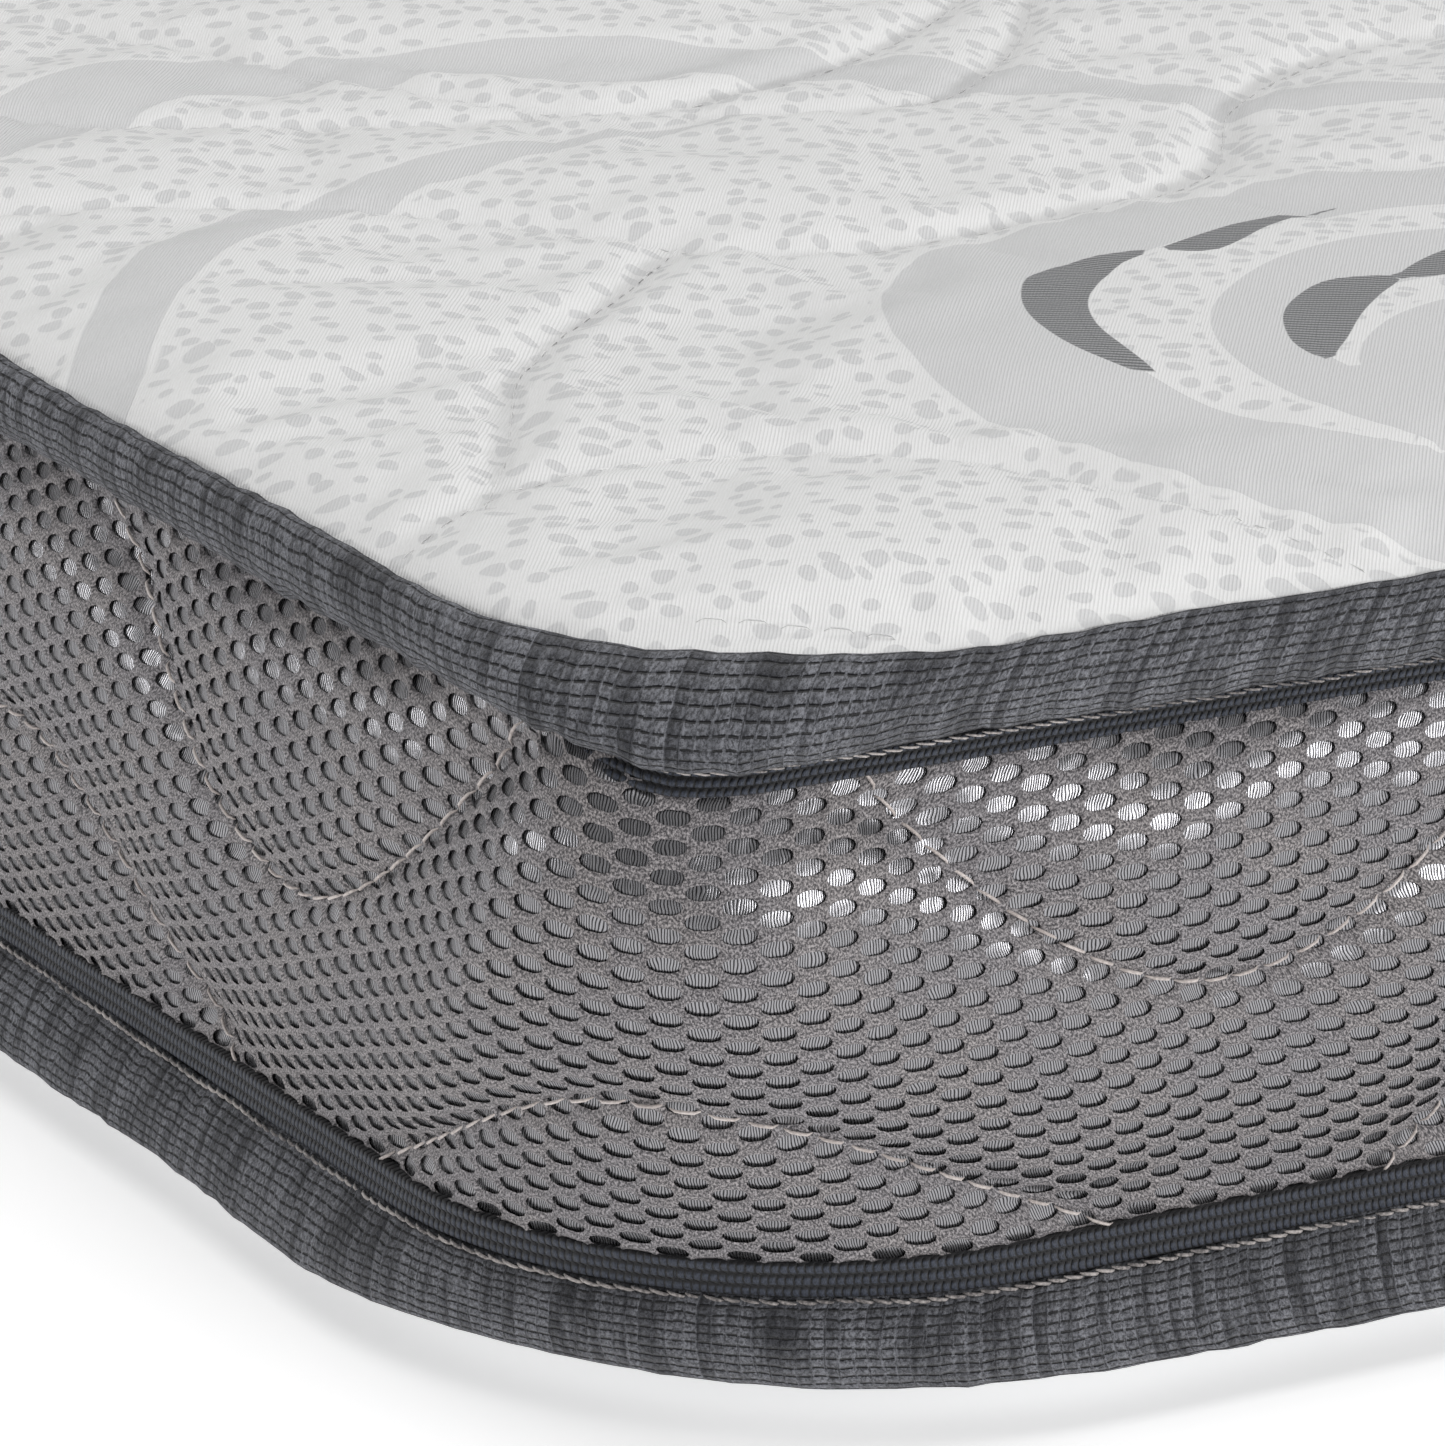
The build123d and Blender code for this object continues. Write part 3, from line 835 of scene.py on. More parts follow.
def top_gathers(u, v, z):
    """How far the stitching's small gathers push the top roll in and out."""
    near_tape = np.exp(-np.abs(z - 83.5) / 2.2)
    return 0.42 * ripple(u + 0.3 * v, 6.5, 11) * near_tape + 0.35 * ripple(u, 60, 12) + 0.18 * ripple(u, 11, 13)


def low_gathers(u, v, z):
    """The same for the bottom roll."""
    near_tape = np.exp(-np.abs(z - 15.5) / 3.0)
    gathers = 0.40 * ripple(u + 0.5 * v, 7.0, 14) * near_tape
    return gathers + 0.4 * ripple(u, 70, 15) + 0.16 * ripple(u + v, 9, 16)


top_roll = roll("top_chenille_roll", TOP_SIDE, TOP_END, top_gathers)
low_roll = roll("bottom_chenille_roll", LOW_SECTION, LOW_SECTION, low_gathers)
for piece in (top_roll, low_roll):
    print(piece.name, 2 * len(piece.data.polygons), "triangles")

# %% [markdown]
# ## Binding tapes
# Between roll and border a ribbed ribbon covers the raw edges. It is woven over cords, so it has three rows of
# small beads with a groove between the rows, narrower on the top tape than on the bottom one. The rows are
# in the section; the beads, under a millimetre each, are in the material, where the grooves and the gaps
# between beads are painted near black as shade.

# %% Tapes
BEAD_PITCH = 0.00092
TAPE_ROWS, ROW_BULGE, ROW_SUNK, TAPE_BACK = 3, 0.80, 0.2, 1.1


def tape_material():
    ribbon = Recipe("ribbed_ribbon", roughness=0.55, specular=0.4)
    flat = ribbon.coordinates("UV")
    sway = ribbon.math("MULTIPLY", ribbon.noise(flat, 300.0, 1.0), 0.0005)
    half_step = ribbon.math("MULTIPLY", ribbon.attribute("row"), BEAD_PITCH / 2)
    phase = ribbon.math("ADD", ribbon.math("ADD", ribbon.parts(flat)[0], sway), half_step)
    bead = ribbon.math("ABSOLUTE", ribbon.math("SINE", ribbon.math("MULTIPLY", phase, pi / BEAD_PITCH)))
    groove = ribbon.attribute("groove")
    fibre = ribbon.noise(ribbon.scaled(flat, (9000.0, 2600.0, 1)), 1.0, 2.0)
    navy = ribbon.mix(ribbon.ramp(fibre, 0.3, 0.7), (0.008, 0.011, 0.019, 1), (0.050, 0.060, 0.088, 1))
    # painted shade: near black in the gaps between beads and in the grooves between rows
    gap = ribbon.math("MAXIMUM", ribbon.ramp(bead, 0.60, 0.20), ribbon.ramp(groove, 0.10, 0.60))
    color = ribbon.mix(gap, navy, (0.003, 0.003, 0.005, 1))
    height = ribbon.math("ADD", ribbon.math("POWER", bead, 0.5), ribbon.math("MULTIPLY", fibre, 0.3))
    return ribbon.finish(color, height, 0.0004, 1.0, sheen=0.1)


TAPE = tape_material()


def tape(name, low, high, low_inset, high_inset, tuck=0.0, u_step=3.2):
    """Closed ribbed tape between two heights, with rows of beads outwards."""
    rise, bulge, row, groove = [], [], [], []
    for k in range(TAPE_ROWS):
        for step, grooved in zip(np.linspace(0.06, 0.94, 5), (1.0, 0.0, 0.0, 0.0, 1.0)):
            rise.append((k + step) / TAPE_ROWS)
            bulge.append(ROW_BULGE * np.sin(pi * step) ** 0.5 - ROW_SUNK)
            row.append(float(k))
            groove.append(grooved)
    rise, bulge = np.array(rise + [1.0, 0.0]), np.array(bulge + [-TAPE_BACK, -TAPE_BACK])
    row, groove = row + [0.0, 0.0], groove + [1.0, 1.0]
    u = steps(u_step)
    sway = 0.10 * ripple(u, 30, 21)[:, None] * np.sin(pi * np.clip(rise, 0, 1))[None]
    inset = low_inset + (high_inset - low_inset) * rise[None] - bulge[None] - sway
    tucked = tuck * end_share(u)[:, None]
    inset = inset + 0.8 * tucked
    z = low + (high - low) * rise[None] + tucked
    v = run_length(rise * (high - low), bulge)
    piece = strip(name, u, v, ring_points(u, inset, z), TAPE, True)
    keep(piece.data, "row", np.tile(row, len(u)))
    keep(piece.data, "groove", np.tile(groove, len(u)))
    return piece


top_tape = tape("top_tape", MESH_HIGH_Z - 0.5, HIGH_STITCH_Z + 0.2, 6.9, 6.6, TAPE_TUCK)
low_tape = tape("bottom_tape", LOW_STITCH_Z + 0.1, MESH_LOW_Z + 0.4, 8.6, 7.9)
for piece in (top_tape, low_tape):
    print(piece.name, 2 * len(piece.data.polygons), "triangles")

# %% [markdown]
# ## Stitches
# A sewn seam is one short shape again and again: a bit of twisted thread that comes out of the cloth, lies on
# it and goes in again. Geometry Nodes put one small stitch on evenly spaced points of a seam line. Each stitch
# is turned along the line, and its back to the outward direction kept on the line's points.

# %% Stitch helpers


def thread_material(name, light, dark):
    thread = Recipe(name, roughness=0.55, specular=0.35)
    place = thread.coordinates()
    ply = thread.noise(place, 2600.0, 2.0)
    patch = thread.noise(place, 130.0, 1.0)
    tone = thread.math("MULTIPLY_ADD", patch, 0.5, thread.math("MULTIPLY", ply, 0.5))
    return thread.finish(thread.mix(thread.ramp(tone, 0.36, 0.64), dark, light), ply, 0.0002, 0.6, sheen=0.2)


def stitch_shape(length, radius, dip, sides=5):
    """One stitch along X: a low arch of thread that dips into the cloth at both ends."""
    along = np.array([-0.5, -0.3, 0.0, 0.3, 0.5]) * length
    lift = np.array([-dip, radius * 0.5, radius * 0.9, radius * 0.5, -dip])
    thick = np.array([0.55, 1.0, 1.1, 1.0, 0.55]) * radius
    turns = np.arange(sides) * 2 * pi / sides
    points = [(x, r * np.cos(t), z + r * np.sin(t)) for x, z, r in zip(along, lift, thick) for t in turns]
    quads = [
        (k * sides + j, k * sides + (j + 1) % sides, (k + 1) * sides + (j + 1) % sides, (k + 1) * sides + j)
        for k in range(len(along) - 1)
        for j in range(sides)
    ]
    ends = [tuple(range(sides))[::-1], tuple(range(len(points) - sides, len(points)))]
    mesh = bpy.data.meshes.new("stitch")
    mesh.from_pydata((np.array(points) * MM).tolist(), [], quads + ends)
    mesh.polygons.foreach_set("use_smooth", [True] * len(quads) + [False] * len(ends))
    return placed("stitch", mesh)


def seam_line(name, lines):
    """Edges along lines of points, each with the outward direction kept on it."""
    points = np.concatenate([p for p, _, _ in lines])
    outs = np.concatenate([o for _, o, _ in lines])
    edges, first = [], 0
    for p, _, closed in lines:
        n = len(p)
        edges += [(first + i, first + i + 1) for i in range(n - 1)]
        if closed:
            edges.append((first + n - 1, first))
        first += n
    mesh = bpy.data.meshes.new(name)
    mesh.from_pydata((points * MM).tolist(), edges, [])
    keep_outward(mesh, outs)
    return placed(name, mesh)


def sew(name, lines, pitch, shape, material, lean=0.0):
    """Stitches by Geometry Nodes along seam lines."""
    sewing = Tree(name)
    length = sewing.input("Stitch pitch", "Float", pitch * MM)
    stitch = sewing.input("Stitch", "Object", shape)
    slant = sewing.input("Lean", "Float", lean)
    curve = sewing.node("GeometryNodeMeshToCurve", Mesh=sewing.start.outputs["Geometry"])
    even = sewing.node("GeometryNodeResampleCurve", {"mode": "LENGTH"}, Curve=curve.outputs[0], Length=length)
    tangent = sewing.node("GeometryNodeInputTangent").outputs[0]
    first = sewing.node("FunctionNodeAlignRotationToVector", {"axis": "X"}, Vector=tangent)
    second = sewing.node(
        "FunctionNodeAlignRotationToVector", {"axis": "Z", "pivot_axis": "X"},
        Rotation=first.outputs[0], Vector=sewing.kept("out"),
    )
    slanted = sewing.node("ShaderNodeCombineXYZ", Z=slant).outputs[0]
    spin = sewing.node("FunctionNodeEulerToRotation", Euler=slanted)
    turned = sewing.node(
        "FunctionNodeRotateRotation", {"rotation_space": "LOCAL"},
        Rotation=second.outputs[0], Rotate_By=spin.outputs[0],
    )
    placed = sewing.node(
        "GeometryNodeInstanceOnPoints",
        Points=even.outputs[0],
        Instance=sewing.node("GeometryNodeObjectInfo", Object=stitch).outputs["Geometry"],
        Rotation=turned.outputs[0],
    )
    sewing.close(placed.outputs[0], material)
    made = sewing.run(seam_line(name, lines))
    bpy.data.objects.remove(shape)
    return made


print("stitch helpers ready")

# %% [markdown]
# ## Quilting thread on the border and on the tapes
# The quilting thread on the border is fine and shows as single stitches four millimetres apart; where a wave
# passes behind a tape it isn't seen, so it isn't made there. Each tape is sewn down along its chenille edge by
# a thicker twisted thread, whose stitches lie end to end at a slight slant, like a small rope.

# %% Border quilting stitches
BORDER_STITCH, TAPE_STITCH = 4.0, 2.05
QUILTING_LIFT = 0.52


def visible_runs(line):
    """Stretches of a quilting line that lie between the two tapes, as points and outward directions."""
    u = np.linspace(0, PERIMETER, 9000)
    v = line(u)
    shown = (v > HEM_BEHIND_TAPE + 0.6) & (v < BORDER_CLOTH - HEM_BEHIND_TAPE - 0.6)
    runs, start = [], None
    for i, seen in enumerate(np.append(shown, False)):
        if seen and start is None:
            start = i
        elif not seen and start is not None:
            if i - start > 6:
                runs.append((*border_points(u[start:i], v[start:i], QUILTING_LIFT), False))
            start = None
    return runs


QUILTING_YARN = thread_material("border_yarn", (0.66, 0.595, 0.565, 1), (0.40, 0.35, 0.33, 1))
border_stitches = sew(
    "border_stitches", visible_runs(high_wave) + visible_runs(low_wave), BORDER_STITCH,
    stitch_shape(3.5, 0.19, 0.45), QUILTING_YARN, radians(4),
)

# %% Tape threads


def tape_seam(inset, z, tuck=0.0):
    """Closed line at an inset and height, with its outward directions, for the thread along a tape."""
    u = steps(3.0)
    sway = 0.14 * ripple(u, 24, 31)
    tucked = tuck * end_share(u)
    x, y, nx, ny = along_edge(u, inset + sway + tucked, corner_radius(z))
    points = np.stack([x, y, z + tucked + 0.16 * ripple(u, 17, 32)], -1)
    return [(points, np.stack([nx, ny, 0 * nx], -1), True)]


TAPE_YARN = thread_material("tape_yarn", (0.50, 0.46, 0.44, 1), (0.10, 0.09, 0.09, 1))
top_thread = sew(
    "top_tape_stitches", tape_seam(5.9, HIGH_STITCH_Z - 0.15, TAPE_TUCK), TAPE_STITCH,
    stitch_shape(2.5, 0.13, 0.2), TAPE_YARN, radians(-10),
)
low_thread = sew(
    "bottom_tape_stitches", tape_seam(7.7, LOW_STITCH_Z - 0.1), TAPE_STITCH,
    stitch_shape(2.5, 0.20, 0.2), TAPE_YARN, radians(-10),
)

# %% [markdown]
# ## The quilted top
# The top panel is a white knit over soft fibre, quilted in long flowing lines. One repeat of those lines is
# drawn as points and repeated over the whole panel. The points are millimetres from a place just inside the
# front-left corner, and a smooth line runs through them.

# %% Quilting lines of the top
PANEL_ORIGIN = np.array([-HALF_LENGTH + 72, -HALF_WIDTH + 72])
REPEAT = np.array([231.0, 252.0])
QUILT_LINES = (
    [(-41, 140), (-4, 121), (17, 99), (30, 81), (47, 74), (66, 76), (104, 87), (130, 119), (160, 139),
     (190, 140)],
    [(-72, -20), (-54, -5), (-34, 2), (-14, 0), (1, -9), (9, -19), (18, -36), (26, -55), (40, -84), (65, -109),
     (95, -112), (125, -86), (150, -48)],
    [(-64, -47), (-47, -52), (-20, -66), (-9, -76), (28, -95), (70, -98), (110, -78), (140, -54)],
)
CONNECTOR = [(26, 86), (10, 70), (-7, 55), (-20, 41), (-28, 28), (-38, 11), (-48, -3)]


def quilt_points():
    """Closely spaced points on every quilting line of the panel, in millimetres."""
    across = range(-1, int(2 * HALF_LENGTH / REPEAT[0]) + 2)
    deep = range(-1, int(2 * HALF_WIDTH / REPEAT[1]) + 2)
    lines = []
    for line in QUILT_LINES:
        around = [(x + REPEAT[0] * k, y) for k in (-1, 0, 1) for x, y in line]
        whole = smooth_line(around, 12)
        lines.append(whole[(whole[:, 0] >= line[0][0]) & (whole[:, 0] <= line[0][0] + REPEAT[0])])
    lines.append(smooth_line(CONNECTOR, 12))
    return [line + PANEL_ORIGIN + REPEAT * (i, j) for line in lines for i in across for j in deep]


quilt_lines = quilt_points()
print(len(quilt_lines), "quilting lines on the top")

# %% [markdown]
# ## The pattern knitted into the top
# The knit carries its own pattern: pale grey dots, long pale bands, and round motifs of nested crescents with
# dark slivers on their inner edges. Each shape is drawn once, as circles, outlines and strokes, in millimetres
# from the motif's own place. For every point of the panel the script keeps how far it is inside or outside the
# nearest shape, and the material cuts those distances sharply. That gives crisp woven edges from a mesh that is
# much coarser than they are. The dots are in the material.

# %% Distances to the knitted shapes
MOTIF_REPEAT = np.array([330.0, 300.0])
MOTIF_SHIFT = (-3.5, -6.0)
MOTIF_MIDDLE, MOTIF_REACH = (60, 50), (190, 180)
FAR = 40.0
CRESCENTS = (
    [(41, -1), (39, 11), (41, 24), (45, 35), (51, 45), (58, 51), (65, 52.5), (73, 50.5), (66, 46.5),
     (58, 39.5), (52, 32), (47, 22), (44, 11)],
    [(74, 50), (78, 52.5), (83, 54.5), (88, 56.3), (96, 58.8), (107, 60.3), (98, 56.6), (91, 52.8), (84, 48),
     (78, 45.3)],
    [(62, -5), (62.5, 3), (66, 11), (70, 17), (75, 22), (81, 26), (86, 26.2), (91, 23.6), (84, 17.5),
     (76.5, 10.5), (70, 3.5), (65, -1.5)],
    [(91, 23.6), (97, 29), (105, 33.5), (115, 37), (128, 39), (116, 34.5), (106, 29.5), (98, 22.5)],
)
BAND = [(-84, 20, 3.4), (-77, 40, 3.8), (-68, 58, 4.3), (-56, 76, 4.8), (-43, 94, 5.0), (-28, 110, 5.2),
        (-12, 121, 5.4), (6, 129, 4.8), (24, 135, 3.6), (42, 140, 2.4), (62, 142.5, 1.4), (92, 141.5, 0.0)]
SWEEP = [(-60, 150, 0.0), (-36, 168, 6.0), (-14, 186, 9.5), (10, 196, 9.0), (48, 192, 8.0), (84, 173, 8.5),
         (112, 148, 8.0), (134, 122, 7.0), (158, 104, 4.0), (182, 94, 0.0)]


def circle(p, x, y, radius):
    """Signed distance to a circle, negative inside."""
    return np.hypot(p[:, 0] - x, p[:, 1] - y) - radius


def outline(p, points):
    """Signed distance to a smooth closed outline, negative inside."""
    a = smooth_line(points, 4, closed=True)
    b = np.roll(a, -1, axis=0)
    near = np.full(len(p), 1e9)
    inside = np.zeros(len(p), bool)
    for (ax, ay), (bx, by) in zip(a, b):
        x, y, dx, dy = p[:, 0] - ax, p[:, 1] - ay, bx - ax, by - ay
        t = np.clip((x * dx + y * dy) / (dx**2 + dy**2), 0, 1)
        near = np.minimum(near, np.hypot(x - t * dx, y - t * dy))
        inside ^= ((ay > p[:, 1]) != (by > p[:, 1])) & (p[:, 0] < dx * y / (dy + 1e-12) + ax)
    return np.where(inside, -near, near)


def brushed(p, stroke):
    """Signed distance to a stroke whose half width changes along it."""
    line = smooth_line(stroke, 14)
    near = np.full(len(p), 1e9)
    for x, y, half in line:
        near = np.minimum(near, np.hypot(p[:, 0] - x, p[:, 1] - y) - half)
    return near


def knitted_shapes(p):
    """Distances in millimetres to the pale and the dark shapes of one motif, negative inside."""
    disc = np.maximum(circle(p, 109, 2, 88.8), circle(p, 100, -60, 138))
    gap = np.maximum(circle(p, 97, 0, 56.2), -circle(p, 106.5, -12.4, 55.4))
    sliver = np.maximum(circle(p, 96, -12, 34), -circle(p, 98, -26, 38.5))
    pale = np.maximum(disc, -np.minimum(gap, sliver))
    pale = np.minimum(pale, np.minimum(brushed(p, BAND), brushed(p, SWEEP)))
    dark = np.min([outline(p, points) for points in CRESCENTS], axis=0)
    return pale, dark


def pattern_distances(xy):
    """The same distances for every point of the panel, over all repeats of the motif."""
    pale, dark = np.full(len(xy), FAR), np.full(len(xy), FAR)
    for i in range(-1, 7):
        for j in range(-1, 4):
            shift = PANEL_ORIGIN + MOTIF_SHIFT + MOTIF_REPEAT * (i, j + 0.5 * (i % 2))
            near = (np.abs(xy - shift - MOTIF_MIDDLE) < MOTIF_REACH).all(1)
            if near.any():
                found = knitted_shapes(xy[near] - shift)
                pale[near] = np.minimum(pale[near], found[0])
                dark[near] = np.minimum(dark[near], found[1])
    return pale, dark


print("knitted pattern ready")

# %% [markdown]
# ## The panel's grid
# The panel is a grid, finer towards one corner where the closest views are taken. In each rounded corner the
# square grid is eased into a quarter circle, so no faces pile up there.

# %% Panel grid
PANEL_INSET, PANEL_RADIUS = 7.0, 44.0
PANEL_LOW_Z = TOP_SEAM_Z - 2.0
PANEL_RISE, PANEL_SINK = HEIGHT - PANEL_LOW_Z - 0.5, 3.4
SHOWN_GRID, PUFF_GRID = (2.2, 5.2), (4.4, 8.8)


def graded(half, fine, coarse, reach=330.0):
    """Even steps, fine within reach of the low end and coarse beyond, from -half to half."""
    near = np.linspace(-half, -half + reach, round(reach / fine), endpoint=False)
    return np.concatenate([near, np.linspace(-half + reach, half, round((2 * half - reach) / coarse) + 1)])


def panel_grid(fine, coarse, inset=PANEL_INSET, radius=PANEL_RADIUS):
    """Flat grid points of a rounded rectangle, columns by rows."""
    a, b = HALF_LENGTH - inset, HALF_WIDTH - inset
    x, y = np.meshgrid(graded(a, fine, coarse), graded(b, fine, coarse), indexing="ij")
    s, t = (np.clip((np.abs(c) - (h - radius)) / radius, 0, 1) for c, h in ((x, a), (y, b)))
    x = np.where(s > 0, np.sign(x) * (a - radius + radius * s * np.sqrt(1 - t**2 / 2)), x)
    y = np.where(t > 0, np.sign(y) * (b - radius + radius * t * np.sqrt(1 - s**2 / 2)), y)
    return x, y


def from_edge(x, y, inset=PANEL_INSET, radius=PANEL_RADIUS):
    """Distance in from the panel's edge."""
    qx, qy = np.abs(x) - (HALF_LENGTH - inset - radius), np.abs(y) - (HALF_WIDTH - inset - radius)
    return radius - np.hypot(np.maximum(qx, 0), np.maximum(qy, 0)) - np.minimum(np.maximum(qx, qy), 0)


def evenly(line, pitch):
    """X and Y of even places along a line of points."""
    length = run_length(*line.T)
    at = np.arange(0, length[-1], pitch)
    return np.interp(at, length, line[:, 0]), np.interp(at, length, line[:, 1])


def nearest_seam(x, y):
    """Distance from every point to the nearest quilting line."""
    dense = np.concatenate([np.stack(evenly(line, 1.2), -1) for line in quilt_lines])
    dense = dense[(np.abs(dense) < (HALF_LENGTH, HALF_WIDTH)).all(1)]
    tree = KDTree(len(dense))
    for i, (px, py) in enumerate(dense.tolist()):
        tree.insert((px, py, 0), i)
    tree.balance()
    flat = np.stack([x.ravel(), y.ravel()], -1).tolist()
    return np.array([tree.find((px, py, 0))[2] for px, py in flat]).reshape(x.shape)


def panel_bed(x, y):
    """Height of the panel where the quilting holds it down: steep at the edge, then level."""
    return PANEL_LOW_Z + (PANEL_RISE - PANEL_SINK) * (1 - np.exp(-from_edge(x, y) / 7.5))


fine_x, fine_y = panel_grid(*SHOWN_GRID)
fine_seam = nearest_seam(fine_x, fine_y)
print("panel grid", fine_x.shape)

# %% [markdown]
# ## Puffing the panel up
# Between its quilting lines the fibre pushes the knit up. The cloth is simulated: a coarser grid is held at the
# edge and along the quilting, a light pressure blows the rest up, and the cloth may stretch a little. That
# gives the uneven swells and the small pulls beside the lines that a formula lacks.

# %% Cloth simulation of the top
PUFF_STRETCH, PUFF_PRESSURE, PUFF_FRAMES = 0.012, 0.55, 20


def simulated_puff():
    """Grid lines and the lift above the bed that the cloth simulation finds."""
    x, y = panel_grid(*PUFF_GRID)
    seam = nearest_seam(x, y)
    bed = panel_bed(x, y)
    start = bed + 0.3 * (1 - np.exp(-seam / 6))
    columns, rows = x.shape
    faces, _, _ = grid_quads(columns, rows, False)
    cloth = mesh_from("puff", np.stack([x, y, start], -1), faces)
    held = cloth.vertex_groups.new(name="held")
    grip = np.clip(np.maximum(1.15 - seam / 4.0, 0), 0, 1)
    grip[from_edge(x, y) < 1.5] = 1.0
    for level in (0.25, 0.5, 0.75, 1.0):
        near = np.flatnonzero((grip.ravel() > level - 0.25) & (grip.ravel() <= level)).tolist()
        held.add(near, level, "REPLACE")
    modifier = cloth.modifiers.new("puff", "CLOTH")
    settings = modifier.settings
    settings.quality = 5
    settings.mass = 0.15
    settings.tension_stiffness = settings.compression_stiffness = 20
    settings.shear_stiffness = 8
    settings.bending_stiffness = 0.6
    settings.vertex_group_mass = "held"
    settings.shrink_min = -PUFF_STRETCH
    settings.use_pressure = True
    settings.uniform_pressure_force = PUFF_PRESSURE
    settings.effector_weights.gravity = 0
    for frame_number in range(1, PUFF_FRAMES + 1):
        scene.frame_set(frame_number)
    ready = cloth.evaluated_get(bpy.context.evaluated_depsgraph_get()).to_mesh()
    moved = np.empty(3 * columns * rows, np.float32)
    ready.vertices.foreach_get("co", moved)
    moved = moved.reshape(columns, rows, 3) / MM
    scene.frame_set(1)
    bpy.data.objects.remove(cloth)
    return x, y, moved[..., 2] - bed


def middle_lines(x, y):
    """X along a grid's middle row and Y along its middle column, where the grid is straight."""
    return x[:, x.shape[1] // 2], y[x.shape[0] // 2]


def resampled(values, from_x, from_y, to_x, to_y):
    """Values of one straight grid read at the places of another."""
    along = np.stack([np.interp(to_x, from_x, column) for column in values.T], -1)
    return np.stack([np.interp(to_y, from_y, row) for row in along], 0)


coarse_x, coarse_y, lift = simulated_puff()
print("simulated lift", round(float(lift.min()), 2), "to", round(float(lift.max()), 2), "mm")
lift = resampled(lift, *middle_lines(coarse_x, coarse_y), *middle_lines(fine_x, fine_y))
ceiling = HEIGHT + 0.6 - panel_bed(fine_x, fine_y)
puff = ceiling * np.tanh(np.maximum(lift, -0.5) / ceiling)
print("puffs up to", round(float(puff.max()), 1), "mm")

# %% [markdown]
# ## The finished panel
# Fine seams are cut after the simulation: a narrow valley along each line, and small puckers beside it. The
# rim turns down under the chenille roll, and a flat underside closes the form. The distances to the knitted
# shapes are kept on its points for the material.

# %% Top panel mesh


def noise_field(x, y, wavelength, seed, waves=10):
    """Soft noise over the panel from a few seeded plane waves."""
    pick = np.random.default_rng(seed)
    total = np.zeros(x.shape)
    for _ in range(waves):
        turn, phase = pick.uniform(0, 2 * pi, 2)
        k = 2 * pi / (wavelength * pick.uniform(0.7, 1.5))
        total += np.sin(k * (x * cos(turn) + y * sin(turn)) + phase)
    return total / waves**0.5


def top_panel_points():
    """The bed, the puff, and the valley, puckers and ripples that the sewing leaves."""
    edge = from_edge(fine_x, fine_y)
    near = np.exp(-((fine_seam / 2.6) ** 2))
    puckers = 0.34 * noise_field(fine_x, fine_y, 8.0, 41) * np.exp(-fine_seam / 6.0) * (1 - near)
    rim = 0.10 * noise_field(fine_x, fine_y, 18.0, 42) * np.exp(-edge / 6)
    z = panel_bed(fine_x, fine_y) + puff - 1.1 * near * np.clip(edge / 8, 0, 1)
    z = z + puckers + rim + 0.16 * noise_field(fine_x, fine_y, 34.0, 43)
    return np.stack([fine_x, fine_y, np.minimum(z, HEIGHT + 0.5)], -1)


def closed_panel(name, points, floor_z, material, turned=False):
    """Grid with its rim joined to a flat fan on the other side, so the form is closed."""
    columns, rows = points.shape[:2]
    quads, _, _ = grid_quads(columns, rows, False)
    rim = np.concatenate([
        np.arange(columns - 1) * rows,
        (columns - 1) * rows + np.arange(rows - 1),
        np.arange(columns - 1, 0, -1) * rows + rows - 1,
        np.arange(rows - 1, 0, -1),
    ])
    flat = points.reshape(-1, 3)
    low = flat[rim].copy()
    low[:, :2] *= 1 - 1.5 / np.array([HALF_LENGTH, HALF_WIDTH])
    low[:, 2] = floor_z
    first, centre, count = len(flat), len(flat) + len(rim), len(rim)
    here = np.arange(count)
    there = (here + 1) % count
    wall = np.stack([rim[here], first + here, first + there, rim[there]], -1)
    fan = np.stack([first + here, np.full(count, centre), first + there], -1)
    mesh_points = np.concatenate([flat, low, [(0, 0, floor_z)]])
    faces = [tuple(face) for part in (quads, wall, fan) for face in part.tolist()]
    if turned:
        faces = [f[::-1] for f in faces]
    mesh = bpy.data.meshes.new(name)
    mesh.from_pydata((mesh_points * MM).tolist(), [], faces)
    mesh.polygons.foreach_set("use_smooth", np.ones(len(mesh.polygons), bool))
    mesh.materials.append(material)
    return placed(name, mesh)


def keep_on_panel(piece, name, values):
    """Keep a number on every point of the grid; points added to close the form get a far value."""
    padded_values = np.full(len(piece.data.vertices), FAR, np.float32)
    padded_values[: values.size] = values.ravel()
    keep(piece.data, name, padded_values)


# %% Knit material of the top
DOT_PITCH = 0.0044


